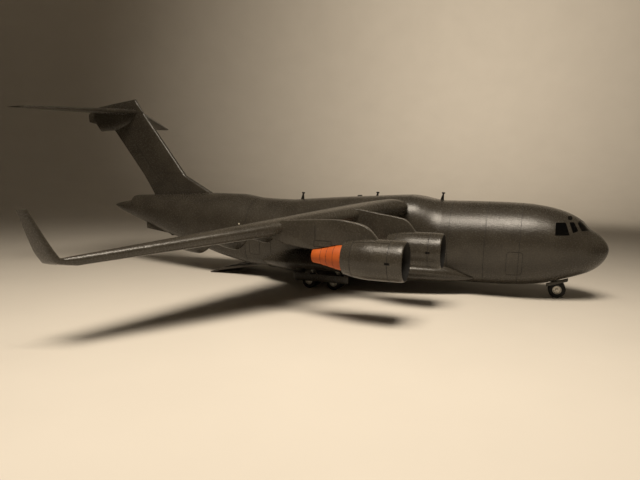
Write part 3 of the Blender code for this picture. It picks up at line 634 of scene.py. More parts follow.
# Distance behind the trailing edge, share of the depth, share of the width.
FAIRING_SHAPE = (
    (-3.3, 0.0, 0.02),
    (-3.2, 0.12, 0.34),
    (-2.9, 0.36, 0.7),
    (-2.45, 0.8, 0.95),
    (-2.0, 1.0, 1.0),
    (-0.9, 0.86, 0.9),
    (0.7, 0.25, 0.05),
)
for label, side in SIDES:
    for i, (y, depth) in enumerate(FAIRINGS):
        _, leading, trailing, leading_height, trailing_height, _ = straight(WING, y)
        slope = (leading_height - trailing_height) / (trailing - leading)
        rings = []
        for aft in spread([row[0] for row in FAIRING_SHAPE], FAIRING_STEP):
            _, deep, wide = reading(FAIRING_SHAPE, aft)
            top, bottom = trailing_height - slope * aft, trailing_height - depth * deep
            middle, half = (top + bottom) / 2, (top - bottom) / 2
            ring = []
            for k in range(FAIRING_POINTS):
                angle = math.tau * k / FAIRING_POINTS
                across = side * y + FAIRING_HALF_WIDTH * wide * math.sin(angle)
                ring.append(at(trailing + aft, across, middle + half * math.cos(angle)))
            rings.append(ring)
        fairing = loft(f"flap_track_fairing_{i + 1}_{label}", rings, GREY_PAINT)
        fit(fairing, "airframe", "dark_grey_paint")

# Wing centre fairing
# The saddle over the body that carries the wing through. It swells out of the spine ahead of the
# wing, fills the corner under the wing root with a smooth glove, and sinks back behind it.
# Station, and how far it stands off the skin at the spine, the shoulder and the flank.
SADDLE = (
    (12.95, -0.03, -0.03, -0.03),
    (13.6, 0.01, 0.02, 0.01),
    (14.2, 0.08, 0.18, 0.1),
    (14.9, 0.16, 0.48, 0.28),
    (15.7, 0.24, 0.78, 0.46),
    (16.8, 0.32, 0.92, 0.6),
    (20.0, 0.26, 0.8, 0.5),
    (23.4, 0.2, 0.6, 0.3),
    (26.4, 0.1, 0.24, 0.08),
    (28.2, 0.0, 0.02, 0.0),
    (28.9, -0.03, -0.03, -0.03),
)
SADDLE_ANGLES = (0.0, 0.70, 1.12, 1.42)
SADDLE_UNDERSIDE = -0.08
SADDLE_EDGE = -0.03
SADDLE_HALF_POINTS = 40
SADDLE_STEP = 0.25
SADDLE_LINE_ANGLE = 0.55
SADDLE_LINES = (16.3, 19.0, 22.0, 25.0)


def saddle_skin(station, angle):
    _, spine, shoulder, swell = reading(SADDLE, station)
    swells = list(zip(SADDLE_ANGLES, (spine, shoulder, swell, SADDLE_EDGE)))
    return fuselage_skin(station, angle, reading(swells, abs(angle))[1])


rings = []
count = SADDLE_HALF_POINTS
angles = [SADDLE_ANGLES[-1] * k / count for k in range(-count, count + 1)]
for station in spread([row[0] for row in SADDLE], SADDLE_STEP):
    ring = [saddle_skin(station, angle) for angle in angles]
    ring += [fuselage_skin(station, angle, SADDLE_UNDERSIDE) for angle in reversed(angles)]
    rings.append(ring)
saddle = loft("wing_saddle_fairing", rings, GREY_PAINT)
lines = []
for station in SADDLE_LINES:
    ends = (-SADDLE_LINE_ANGLE, SADDLE_LINE_ANGLE)
    lines.append(trace(saddle_skin, [(station, angle) for angle in ends]))
scribe(saddle, lines)
fit(saddle, "airframe", "dark_grey_paint", "wing_centre_fairing")

# Winglets
# A swept fin that curves up out of each wingtip, moulded separately and cemented on the tip, so
# that its root carries on the wing's section.
# Distance from the middle, leading and trailing edge stations, height, half thickness.
WINGLET = (
    (24.905, 28.95, 30.26, 4.82, 0.17),
    (25.10, 29.00, 30.30, 4.88, 0.17),
    (25.20, 29.06, 30.40, 5.05, 0.16),
    (25.33, 29.22, 30.52, 5.45, 0.14),
    (25.82, 29.95, 30.65, 7.42, 0.05),
)
WINGLET_TRAILING_DROP = 0.22
WINGLET_STEP = 0.06
# How far to either side the lean of the curve is read.
WINGLET_NUDGE = 0.02
# The same rows by the distance run along the curve from the wingtip.
WINGLET_BY_RUN = [(0.0, *WINGLET[0])]
for before, after in zip(WINGLET, WINGLET[1:]):
    run = WINGLET_BY_RUN[-1][0] + math.hypot(after[0] - before[0], after[3] - before[3])
    WINGLET_BY_RUN.append((run, *after))
for label, side in SIDES:
    rings = []
    for run in spread([row[0] for row in WINGLET_BY_RUN], WINGLET_STEP):
        _, y, leading, trailing, height, half = reading(WINGLET_BY_RUN, run)
        ahead = reading(WINGLET_BY_RUN, run + WINGLET_NUDGE)
        behind = reading(WINGLET_BY_RUN, run - WINGLET_NUDGE)
        lean = math.atan2(ahead[4] - behind[4], ahead[1] - behind[1]) if run > 0 else 0.0
        out = Vector((0, side * math.sin(lean), -math.cos(lean))) * half * SCALE
        drop = WINGLET_TRAILING_DROP * math.cos(lean)
        ring = []
        for way in ways:
            share = way * way
            middle = at(leading + share * (trailing - leading), side * y, height - drop * share)
            ring.append(middle - out * math.copysign(wing_thickness(share), way))
        rings.append(ring)
    winglet = loft(f"winglet_moulding_{label}", rings, GREY_PAINT)
    fit(winglet, "airframe", "dark_grey_paint", f"winglet_{label}")

# Engine cowls
# Each cowl is an open duct moulded in two halves, with a rounded intake lip and a thin rear edge.
# It has an intake ring line, a fan door line, three lengthwise seams and a small cooling slot.
NACELLE_LENGTH = 4.08
# Name, station of the lip, distance from the middle, height of the axis.
ENGINES = (("outboard", 13.63, 14.15, 4.32), ("inboard", 12.22, 8.52, 4.39))
# Distance aft of the lip and radius, outside and inside.
COWL_OUTSIDE = (
    (0.0, 1.245), (0.02, 1.272), (0.06, 1.292), (0.14, 1.312), (0.35, 1.33),
    (2.3, 1.33), (3.3, 1.23), (4.08, 1.06),
)
COWL_INSIDE = (
    (0.0, 1.205), (0.06, 1.192), (0.14, 1.165), (0.35, 1.115), (0.75, 1.16), (2.3, 1.16),
    (3.3, 1.1), (4.08, 1.0),
)
COWL_LINES = (0.92, 3.38)
COWL_SEAMS = (0.5, math.pi, math.tau - 0.5)
COWL_STEPS = 144
# How far the lengthwise seams stop from the ring lines.
SEAM_STOP = 0.06
SLOT_AFT = (0.74, 1.06)
SLOT_WIDTH = 1.1 * MM
SLOT_DEPTH = 0.5 * MM
# How far the tool that hollows the duct reaches past the cowl, ahead of it and behind it.
DUCT_REACH = (0.3, 0.12)
# Matt black inside the duct, with a faint brushed grain: painted shade for the shadow deep in the intake,
# so the intake reads as dark.
DUCT_PAINTED_SHADE = sprayed("duct_lining_painted_shade_black", "#0c0a08", "#14110e", 0.8, 0.6, 0.02)


def turned(name, profile, centre, axis, *materials, steps=96):
    """Turns a closed profile of (radius, distance along the axis) points about an axis X, Y or Z."""
    along = Vector([float(axis == letter) for letter in "XYZ"])
    across = along.yzx
    third = along.cross(across)
    bm = bmesh.new()
    rows = []
    for i in range(steps):
        turn = math.tau * i / steps
        out = across * math.cos(turn) + third * math.sin(turn)
        rows.append([bm.verts.new(centre + (out * r + along * h) * SCALE) for r, h in profile])
    for row, following in zip(rows, rows[1:] + rows[:1]):
        for i in range(len(profile)):
            j = (i + 1) % len(profile)
            bm.faces.new((row[i], row[j], following[j], following[i]))
    bmesh.ops.remove_doubles(bm, verts=bm.verts, dist=1e-8)
    return solid(name, bm, *materials)


PROFILE_STEP = 0.12


def cowl_profile(table, grow=0.0):
    stations = spread([row[0] for row in table], PROFILE_STEP)
    return [(reading(table, aft)[1] + grow, -aft) for aft in stations]


def cowl_skin(station, y, height):
    """A cowl's outside as a surface that is read by the distance aft of the lip and an angle."""

    def place(aft, angle):
        radius = reading(COWL_OUTSIDE, aft)[1]
        up, across = radius * math.cos(angle), radius * math.sin(angle)
        return at(station + aft, y + across, height + up)

    return place


for position, station, y, height in ENGINES:
    for label, side in SIDES:
        centre = at(station, side * y, height)
        outline = [(0, 0), *cowl_profile(COWL_OUTSIDE), (0, -NACELLE_LENGTH)]
        cowl = turned(f"cowl_{position}_{label}", outline, centre, "X", GREY_PAINT, steps=COWL_STEPS)
        wall = cowl_profile(COWL_INSIDE)
        ahead, behind = DUCT_REACH[0], -NACELLE_LENGTH - DUCT_REACH[1]
        duct = [(0, ahead), (wall[0][0], ahead), *wall, (wall[-1][0], behind), (0, behind)]
        # The duct's walls take the matt black that paints the shade inside the intake.
        carve(cowl, turned("duct", duct, centre, "X", DUCT_PAINTED_SHADE, steps=COWL_STEPS))
        skin = cowl_skin(station, side * y, height)
        quarters = [math.tau * k / 4 for k in range(5)]
        scribe(cowl, [trace(skin, [(aft, angle) for angle in quarters]) for aft in COWL_LINES])
        front, back = COWL_LINES
        seams = [((front + SEAM_STOP, angle), (back - SEAM_STOP, angle)) for angle in COWL_SEAMS]
        scribe(cowl, [trace(skin, seam) for seam in seams])
        slot = trace(skin, [(aft, side * math.pi / 2) for aft in SLOT_AFT])
        scribe(cowl, [slot], width=SLOT_WIDTH, depth=SLOT_DEPTH)
        fit(cowl, "airframe", "dark_grey_paint", f"engine_cowl_{position}_{label}")

# Fans
# A spinner and twenty-two twisted blades in one moulding, pressed on a pin, so that it spins in the duct.
# It is dark gunmetal, made darker still as painted shade deep in the duct.
FAN_BLADES = 22
FAN_PLACE = -1.31
FAN_BLADE_HALF_THICKNESS = 0.018
# Along a blade: radius, half chord, angle from the plane of the disc.
BLADE = ((0.3, 0.12, 1.15), (0.55, 0.15, 0.95), (0.8, 0.18, 0.75), (1.09, 0.2, 0.6))
SPINNER = (
    (0, -0.72), (0.1, -0.755), (0.2, -0.86), (0.28, -0.98), (0.34, -1.1), (0.36, -1.2),
    (0.36, -1.45), (0, -1.45),
)
# Gunmetal lacquer, brushed: a dark metal whose strokes run along the engine, its tone darkened further as
# painted shade deep in the duct.
GUNMETAL_WITH_PAINTED_SHADE, tree, shader = blank("gunmetal_lacquer_darkened_as_shade", Metallic=0.85)
place = add(tree, "TexCoord").outputs["Object"]
stroke = {"Vector": place, "Scale": (2500, 9000, 9000)}
stroke = {"Vector": add(tree, "Mapping", stroke).outputs["Vector"], "Scale": 1.0, "Detail": 2.0}
stroke = add(tree, "TexNoise", stroke).outputs["Fac"]
tones = {"Fac": stroke, "Color1": linear("#1d1c1b"), "Color2": linear("#34322f")}
tree.links.new(add(tree, "MixRGB", tones).outputs["Color"], shader.inputs["Base Color"])
sheen = {"Value": stroke, "To Min": 0.3, "To Max": 0.5}
tree.links.new(add(tree, "MapRange", sheen).outputs["Result"], shader.inputs["Roughness"])


def bars(name, rows_of_corners, *materials):
    """Many thin bars in one mesh, each skinned from its own rows of four corners."""
    bm = bmesh.new()
    for sections in rows_of_corners:
        rows = [[bm.verts.new(corner) for corner in section] for section in sections]
        for row, following in zip(rows, rows[1:]):
            for i in range(4):
                j = (i + 1) % 4
                bm.faces.new((row[i], row[j], following[j], following[i]))
        bm.faces.new(rows[0])
        bm.faces.new(rows[-1])
    return solid(name, bm, *materials)


for position, station, y, height in ENGINES:
    for label, side in SIDES:
        centre = at(station, side * y, height)
        body = f"fan_{position}_{label}"
        spinner = turned(f"fan_rotor_{position}_{label}", SPINNER, centre, "X", GUNMETAL_WITH_PAINTED_SHADE, steps=64)
        blades = []
        for k in range(FAN_BLADES):
            turn = math.tau * k / FAN_BLADES
            out = Vector((0, math.cos(turn), math.sin(turn)))
            across = Vector((0, -math.sin(turn), math.cos(turn)))
            sections = []
            for radius, half_chord, twist in BLADE:
                chord = Vector((math.sin(twist), 0, 0)) + across * math.cos(twist)
                face = chord.cross(out) * FAN_BLADE_HALF_THICKNESS
                middle = out * radius + Vector((FAN_PLACE, 0, 0))
                corners = (chord * half_chord, face, -chord * half_chord, -face)
                sections.append([centre + (middle + corner) * SCALE for corner in corners])
            blades.append(sections)
        fit(bars(f"fan_blades_{position}_{label}", blades, GUNMETAL_WITH_PAINTED_SHADE), body, "silver_paint")
        fit(spinner, body, "silver_paint", body)

# Engine cores
# Behind each fan stands a disc with fixed vanes, and the core runs back from it to a stepped
# exhaust cone, sprayed a flat orange. The nozzle is open, with a plug in its middle.
CORE_PROFILE = (
    (0, -1.8), (0.72, -1.8), (0.72, -2.2), (0.86, -3.6), (0.84, -4.36), (0.79, -4.68), (0.765, -4.69),
    (0.675, -5.17), (0.65, -5.18), (0.575, -5.62), (0.55, -5.63), (0.46, -6.29), (0.445, -6.31),
    (0.39, -6.31), (0.38, -5.7), (0.12, -5.7), (0.1, -6.0), (0, -6.12),
)
CONE_RINGS = ((4.7, 0.772), (5.19, 0.657), (5.64, 0.555))
# The inboard cores are slimmer than the outboard ones.
CORE_GIRTH = {"outboard": 1.0, "inboard": 0.76}
DISC_RADIUS = 1.117
DISC_PROFILE = (
    (0, -1.66), (0.36, -1.66), (0.36, -1.74), (DISC_RADIUS, -1.74), (DISC_RADIUS, -1.8), (0, -1.8),
)
VANES = 28
VANE_STATIONS = (-1.62, -1.745)
# A vane starts a little inside the spinner's radius and ends just short of the disc's rim.
VANE_ROOT_LAP = 0.01
VANE_TIP_GAP = 0.005
VANE_HALF_THICKNESS = 0.02
RING_COUNT = 48
RING_LINE_WIDTH = 0.24 * MM
RING_LINE_DEPTH = 0.12 * MM
# Flat orange acrylic, sprayed: dull and even, with a fine dusty grain.
ORANGE_PAINT = sprayed("flat_orange_sprayed_acrylic", "#a84a10", "#b85718", 0.62, 0.5, 0.03)
for position, station, y, height in ENGINES:
    for label, side in SIDES:
        centre = at(station, side * y, height)
        name = f"{position}_{label}"
        girth = CORE_GIRTH[position]
        outline = [(radius * girth, ahead) for radius, ahead in CORE_PROFILE]
        cone = turned(f"exhaust_cone_{name}", outline, centre, "X", ORANGE_PAINT)
        rings = []
        for aft, radius in CONE_RINGS:
            ring = []
            for k in range(RING_COUNT + 1):
                turn = math.tau * k / RING_COUNT
                out = Vector((0, math.cos(turn), math.sin(turn)))
                ring.append((centre + (out * radius * girth - Vector((aft, 0, 0))) * SCALE, out))
            ring[-1] = ring[0]
            rings.append(ring)
        scribe(cone, rings, width=RING_LINE_WIDTH, depth=RING_LINE_DEPTH)
        fit(cone, "airframe", "orange_paint", f"engine_core_{name}")
        # The disc and its vanes take the same gunmetal, darkened as painted shade inside the duct.
        disc = turned(f"stator_disc_{name}", DISC_PROFILE, centre, "X", GUNMETAL_WITH_PAINTED_SHADE, steps=64)
        fit(disc, "airframe", "silver_paint")
        vanes = []
        for k in range(VANES):
            turn = math.tau * k / VANES
            out = Vector((0, math.cos(turn), math.sin(turn)))
            thick = Vector((0, -math.sin(turn), math.cos(turn))) * VANE_HALF_THICKNESS
            front, back = (Vector((x, 0, 0)) for x in VANE_STATIONS)
            corners = (front + thick, back + thick, back - thick, front - thick)
            radii = (SPINNER[-2][0] - VANE_ROOT_LAP, DISC_RADIUS - VANE_TIP_GAP)
            vanes.append([[centre + (out * r + c) * SCALE for c in corners] for r in radii])
        fit(bars(f"stator_vanes_{name}", vanes, GUNMETAL_WITH_PAINTED_SHADE), "airframe", "silver_paint")

# Pylons
# A flat moulding with a narrow rounded spine, which carries each engine ahead of and below the wing
# and runs back under it to a thin tail.
# Side view from the intake's middle: the spine, and the lower edge from the tail forward.
PYLON_SPINE = {
    "outboard": ((1.6, 0.9), (1.75, 1.12), (1.95, 1.42), (2.7, 2.1), (3.4, 2.3), (4.7, 2.44), (8.6, 2.22)),
    "inboard": ((1.85, 0.9), (2.0, 1.14), (2.2, 1.5), (3.0, 2.22), (4.6, 2.5), (7.3, 2.84), (8.6, 2.7)),
}
PYLON_KEEL = {
    "outboard": ((9.0, 1.8), (10.4, 1.4), (8.2, 0.62), (6.3, 0.42), (4.6, 0.78)),
    "inboard": ((9.4, 2.3), (11.0, 1.9), (9.0, 0.8), (6.3, 0.3), (4.6, 0.56)),
}
PYLON_HALF = 0.21
PYLON_ROUND = 0.07
INTAKE_REACH = 0.5
INTAKE_INNER = 1.24
# How deep the pylon sinks into the cowl.
COWL_BED = 0.012
PYLON_PANEL = ((5.0, 0.63), (5.0, 1.03), (6.2, 1.03), (6.2, 0.63))
PYLON_LINE = ((6.13, 1.1), (6.13, 2.0))
INTAKE_CUT = [
    (0, INTAKE_REACH), (INTAKE_INNER, INTAKE_REACH),
    *cowl_profile(COWL_OUTSIDE, -COWL_BED), (0, -NACELLE_LENGTH),
]
CONE_CUT = ((0, -3.9), (0.85, -3.9), (0.83, -4.37), (0.45, -6.32), (0, -6.32))


def side_wall(station, y, height):
    """A flat wall, read by the distance aft of a station and above a height."""
    return lambda aft, up: at(station + aft, y, height + up)


for position, station, y, height in ENGINES:
    for label, side in SIDES:
        spine = PYLON_SPINE[position]
        outline = [(s, reading(spine, s)[1]) for s in spread([row[0] for row in spine], PROFILE_STEP)]
        outline = [(station + s, height + z) for s, z in [*outline, *PYLON_KEEL[position]]]
        ys = (side * y - PYLON_HALF, side * y + PYLON_HALF)
        name = f"pylon_moulding_{position}_{label}"
        pylon = soften(slab(name, outline, ys, GREY_PAINT), PYLON_ROUND)
        centre = at(station, side * y, height)
        intake = turned("intake_cut", INTAKE_CUT, centre, "X", GREY_PAINT)
        cone = [(radius * CORE_GIRTH[position], ahead) for radius, ahead in CONE_CUT]
        carve(pylon, intake, turned("cone_cut", cone, centre, "X", GREY_PAINT))
        for face_y in ys:
            wall = side_wall(station, face_y, height)
            scribe(pylon, [trace(wall, PYLON_PANEL, closed=True)])
            scribe(pylon, [trace(wall, PYLON_LINE)])
        fit(pylon, "airframe", "dark_grey_paint", f"pylon_{position}_{label}")

# Gear pods
# A long blister on each flank that houses the main gear, moulded apart and cemented to the body.
# Its well is open below, and the outer wall hangs down as a door beside the wheels.
# Station, outer side, top, bottom.
POD = (
    (10.5, 2.72, 1.72, 1.38),
    (11.2, 3.02, 2.02, 1.22),
    (12.2, 3.55, 2.42, 1.10),
    (13.6, 4.20, 2.76, 1.02),
    (16.0, 4.95, 3.05, 0.96),
    (20.0, 5.56, 3.20, 0.92),
    (25.7, 5.56, 3.20, 0.92),
    (27.6, 4.95, 2.95, 1.08),
    (29.0, 4.20, 2.50, 1.30),
    (29.9, 3.55, 2.05, 1.60),
)
POD_INNER = 2.3
POD_INNER_REACH = 0.6
POD_SQUARENESS = 0.92
POD_POINTS = 80
POD_STEP = 0.3
POD_LINE_ANGLES = (0.35, 2.8)
POD_LINES = (16.6, 19.8, 26.4)
WELL = ((20.95, 25.5), (3.62, 5.42), (-1.0, 1.95))
SKIRT_STATIONS = (20.55, 25.75)
SKIRT_INNER = 5.2
GEAR_DOOR_TOP = 1.33
GEAR_DOOR_YS = (5.42, 5.52)
GEAR_DOOR = ((20.62, 0.68), (25.6, 0.66), (25.7, GEAR_DOOR_TOP), (20.6, GEAR_DOOR_TOP))


def pod_skin(side):
    """A pod's skin, read by station and by the angle from its top over its outer side."""

    def place(station, angle):
        _, out, top, bottom = reading(POD, station)
        across, up = squared(angle, POD_SQUARENESS)
        width = out - POD_INNER if across > 0 else POD_INNER_REACH
        height = (top + bottom) / 2 + (top - bottom) / 2 * up
        return at(station, side * (POD_INNER + width * across), height)

    return place


for label, side in SIDES:
    skin = pod_skin(side)
    rings = []
    for station in spread([row[0] for row in POD], POD_STEP):
        rings.append([skin(station, math.tau * k / POD_POINTS) for k in range(POD_POINTS)])
    pod = loft(f"gear_pod_moulding_{label}", rings, GREY_PAINT)
    stations, (inner, outer), heights = WELL
    well = block("well", stations, sorted((side * inner, side * outer)), heights, BARE_STYRENE)
    skirt_ys = sorted((side * SKIRT_INNER, side * 7))
    skirt = block("skirt", SKIRT_STATIONS, skirt_ys, (-1, GEAR_DOOR_TOP + 0.01), BARE_STYRENE)
    carve(pod, body_solid("body", -0.03, 9.0, 33.0, GREY_PAINT, step=0.6), well, skirt)
    lines = [[(station, angle) for angle in POD_LINE_ANGLES] for station in POD_LINES]
    scribe(pod, [trace(skin, line) for line in lines])
    fit(pod, "airframe", "dark_grey_paint", f"gear_pod_{label}")
    ys = sorted(side * y for y in GEAR_DOOR_YS)
    door = slab(f"main_gear_skirt_{label}", rounded(GEAR_DOOR, 0.12), ys, GREY_PAINT)
    fit(soften(door, 0.03, 2), "airframe", "dark_grey_paint", f"main_gear_door_{label}")

# Main gear legs
# Each leg is a moulded strut with a collar, an eye round the axle and two scissor links ahead of
# it, painted aluminium.
MAIN_AXLES = (("front", 22.05), ("rear", 24.35))
MAIN_WHEEL_RADIUS = 0.61
MAIN_WHEEL_WIDTH = 0.38
MAIN_WHEEL_PLACES = (3.98, 4.68, 5.12)
MAIN_LEG_Y = 4.33
MAIN_LEG_RADIUS = 0.17
AXLE_RADIUS = 0.1
EYE_BORE = 0.143
EYE_RIM = 0.27
EYE_HALF = 0.11
LINK_HALF = 0.07
# Scissor links: distance ahead of the leg and height above the axle, at both ends.
LINKS = (((0.02, 0.8), (0.36, 0.5)), ((0.36, 0.5), (0.02, 0.22)))
# Aluminium lacquer, brushed: bright metal flake that is a little uneven, made paler still as a painted
# highlight, so the legs and hubs shine in the shade under the wing.
ALUMINIUM_WITH_PAINTED_GLINT, tree, shader = blank("aluminium_lacquer_paled_as_glint", Metallic=0.6)
place = add(tree, "TexCoord").outputs["Object"]
flake = {"Vector": place, "Scale": 1 / (0.4 * MM), "Detail": 3.0}
flake = add(tree, "TexNoise", flake).outputs["Fac"]
tones = {"Fac": flake, "Color1": linear("#b9b5ad"), "Color2": linear("#e4e0d8")}
tree.links.new(add(tree, "MixRGB", tones).outputs["Color"], shader.inputs["Base Color"])
sheen = {"Value": flake, "From Min": 0.3, "From Max": 0.7, "To Min": 0.28, "To Max": 0.45}
tree.links.new(add(tree, "MapRange", sheen).outputs["Result"], shader.inputs["Roughness"])


def gear_leg(name, station, y, axle_height, top, radius, node):
    """A strut and its eye in one, with two links that fold ahead of it."""
    ring = ((EYE_RIM, EYE_HALF), (EYE_RIM, -EYE_HALF), (EYE_BORE, -EYE_HALF), (EYE_BORE, EYE_HALF))
    eye = turned(name, rounded(ring, 0.02, 2), at(station, y, axle_height), "Y", ALUMINIUM_WITH_PAINTED_GLINT, steps=48)
    collar, foot = axle_height + 0.75, axle_height + EYE_RIM * 0.8
    post = (
        (0, top), (radius, top), (radius, collar + 0.12), (radius + 0.03, collar + 0.1),
        (radius + 0.03, collar), (0.1, collar), (0.1, foot), (0, foot),
    )
    tools = [turned("post", post, at(station, y, 0), "Z", ALUMINIUM_WITH_PAINTED_GLINT, steps=32)]
    for first, last in LINKS:
        run = Vector(last) - Vector(first)
        wide = Vector((-run.y, run.x)).normalized() * LINK_HALF / 2
        corners = [Vector(first) + wide, Vector(last) + wide]
        corners += [Vector(last) - wide, Vector(first) - wide]
        outline = [(station - corner.x, axle_height + corner.y) for corner in corners]
        tools.append(slab("link", outline, (y - LINK_HALF, y + LINK_HALF), ALUMINIUM_WITH_PAINTED_GLINT))
    return fit(carve(eye, *tools, operation="UNION"), "airframe", "silver_paint", node)


for label, side in SIDES:
    for position, station in MAIN_AXLES:
        gear_leg(
            f"main_strut_{position}_{label}", station, side * MAIN_LEG_Y, MAIN_WHEEL_RADIUS,
            WELL[2][1] - 0.02, MAIN_LEG_RADIUS, f"main_leg_{position}_{label}",
        )

# Wheels
# Each axle is a pin with its wheels pressed on. The tyres are soft black vinyl with four grooves,
# and the hubs are painted aluminium, with a raised rim, a cap and a ring of bolts.
NOSE_AXLE = 3.65
NOSE_WHEEL_RADIUS = 0.7
NOSE_WHEEL_WIDTH = 0.42
NOSE_WHEEL_PLACES = (-0.4, 0.4)
AXLE_END = 0.03
HUB_SHARE = 0.52
# Tyre side wall: share of the radius, share of the half width.
SIDE_WALL = ((0.52, 0.8), (0.6, 0.98), (0.8, 1.0), (0.9, 0.93), (0.965, 0.82), (0.995, 0.7))
GROOVE_PLACES = (0.53, 0.18, -0.18, -0.53)
GROOVE = 0.016
# Hub: share of the hub's radius, share of the half width.
HUB_FACE = ((0.3, 0.5), (0.36, 0.3), (0.74, 0.36), (0.86, 0.84), (0.92, 0.9), (0.998, 0.84))
BOLTS = 8
BOLT_SHARE = 0.31
BOLT_RADIUS = 0.03
# Moulded black vinyl: nearly black and dull, with the faint bloom of dust in its grain.
TYRE_VINYL = sprayed("moulded_black_vinyl", "#121110", "#1f1d1b", 0.75, 0.35, 0.02)


def tyre_profile(radius, width):
    wall = [(radius * r, width / 2 * w) for r, w in SIDE_WALL]
    tread = []
    for groove in GROOVE_PLACES:
        middle = groove * width / 2
        near, far = middle + GROOVE, middle - GROOVE
        tread += [(radius, near), (radius - 2 * GROOVE, near), (radius - 2 * GROOVE, far), (radius, far)]
    return wall + tread + [(r, -w) for r, w in reversed(wall)]


def hub_profile(radius, width):
    face = [(AXLE_RADIUS / 2, width / 4)]
    face += [(radius * HUB_SHARE * r, width / 2 * w) for r, w in HUB_FACE]
    return face + [(r, -w) for r, w in reversed(face)]


def wheel_set(body, station, radius, width, places):
    """All the tyres of one axle as a piece, and its hubs with the axle and the bolts as another."""
    low, high = min(places) - width / 2 - AXLE_END, max(places) + width / 2 + AXLE_END
    axle = rounded(((0, high), (AXLE_RADIUS, high), (AXLE_RADIUS, low), (0, low)), 0.03, 3)
    tyres = []
    hubs = [turned("axle", axle, at(station, 0, radius), "Y", ALUMINIUM_WITH_PAINTED_GLINT, steps=32)]
    for y in places:
        centre = at(station, y, radius)
        tyres.append(turned("tyre", tyre_profile(radius, width), centre, "Y", TYRE_VINYL, steps=80))
        hubs.append(turned("hub", hub_profile(radius, width), centre, "Y", ALUMINIUM_WITH_PAINTED_GLINT, steps=64))
        for face in (-1, 1):
            low, high = sorted((face * width * 0.1, face * width * 0.21))
            bolt = ((0, high), (BOLT_RADIUS, high), (BOLT_RADIUS, low), (0, low))
            for k in range(BOLTS):
                turn = math.tau * k / BOLTS
                out = Vector((math.cos(turn), 0, math.sin(turn))) * radius * BOLT_SHARE * SCALE
                hubs.append(turned("bolt", bolt, centre + out, "Y", ALUMINIUM_WITH_PAINTED_GLINT, steps=6))
    tyre_set = carve(tyres[0], *tyres[1:], operation="UNION")
    hub_set = carve(hubs[0], *hubs[1:], operation="UNION")
    tyre_set.name, hub_set.name = f"{body}_tyres", f"{body}_hubs"
    fit(tyre_set, body, "tyre_black", body)
    fit(hub_set, body, "silver_paint")


for label, side in SIDES:
    for position, station in MAIN_AXLES:
        places = [side * y for y in MAIN_WHEEL_PLACES]
        name = f"main_wheels_{position}_{label}"
        wheel_set(name, station, MAIN_WHEEL_RADIUS, MAIN_WHEEL_WIDTH, places)
wheel_set("nose_wheels", NOSE_AXLE, NOSE_WHEEL_RADIUS, NOSE_WHEEL_WIDTH, NOSE_WHEEL_PLACES)

# Nose gear leg and doors
# The nose leg is a strut like the main ones, between its two wheels, and two narrow doors stay open
# beside it, cemented to the edges of the bay.
NOSE_LEG_TOP = 2.52
NOSE_LEG_RADIUS = 0.15
NOSE_DOOR_YS = (0.90, 0.98)
NOSE_DOOR_STATIONS = (2.9, 4.6)
NOSE_DOOR_DROPS = (0.04, 0.34)


def belly_height(station, y):
    _, top, bottom, half_width, squareness = reading(FUSELAGE_BY_ROOT, math.sqrt(station))
    down = (1 - (y / half_width) ** squareness) ** (1 / squareness)
    return (top + bottom) / 2 - (top - bottom) / 2 * down


gear_leg(
    "nose_strut", NOSE_AXLE, 0, NOSE_WHEEL_RADIUS, NOSE_LEG_TOP, NOSE_LEG_RADIUS, "nose_leg"
)
for label, side in SIDES:
    front, back = NOSE_DOOR_STATIONS
    near, far = NOSE_DOOR_DROPS
    outline = []
    for station, drop in ((front, near), (back, near), (back, far), (front, far)):
        outline.append((station, belly_height(station, NOSE_DOOR_YS[0] - 0.06) - drop))
    ys = sorted(side * y for y in NOSE_DOOR_YS)
    door = slab(f"nose_door_{label}", rounded(outline, 0.08), ys, GREY_PAINT)
    fit(soften(door, 0.02, 2), "airframe", "dark_grey_paint", f"nose_gear_door_{label}")

# Cargo ramp
# A flat plate that hinges at the end of the hold floor and rests its thin toe on the ground. It has
# seams across its top and four tread strips.
RAMP_HINGE = (30.0, 1.38)
RAMP_HALF_WIDTH = 2.5
RAMP_DOWN = math.radians(-10.6)
# Distance aft of the hinge, height.
RAMP_PROFILE = (
    (0.13, 0.085), (5.3, 0.085), (6.5, -0.09), (6.5, -0.165), (5.25, -0.085), (0.13, -0.085),
)
RAMP_BARREL = 0.17
RAMP_SEAMS = (0.8, 2.9, 5.0)
RAMP_SEAM_HALF = 2.3
RAMP_BARREL_INSET = 0.05
TREAD_PLACES = (0.75, 1.75)
TREAD_PROFILE = ((0.9, 0.08), (5.2, 0.08), (5.2, 0.115), (0.9, 0.115))
TREAD_HALF_WIDTH = 0.22


def swung(hinge, angle, aft, y, up):
    """A place on a sheet that is swung about its hinge, from its place on the level sheet."""
    spot = Matrix.Rotation(angle, 3, "Y") @ Vector((-aft, y, up))
    return at(hinge[0], 0, hinge[1]) + spot * SCALE


def barrel(hinge, radius, half_width):
    profile = ((0, half_width), (radius, half_width), (radius, -half_width), (0, -half_width))
    return turned("barrel", rounded(profile, 0.03, 2), at(hinge[0], 0, hinge[1]), "Y", GREY_PAINT)


rings = []
for y in (-RAMP_HALF_WIDTH, RAMP_HALF_WIDTH):
    rings.append([swung(RAMP_HINGE, RAMP_DOWN, aft, y, up) for aft, up in RAMP_PROFILE])
ramp = soften(loft("ramp_plate", rings, GREY_PAINT), 0.025, 2)
carve(ramp, barrel(RAMP_HINGE, RAMP_BARREL, RAMP_HALF_WIDTH - RAMP_BARREL_INSET), operation="UNION")


def ramp_top(aft, y):
    return swung(RAMP_HINGE, RAMP_DOWN, aft, y, RAMP_PROFILE[0][1])


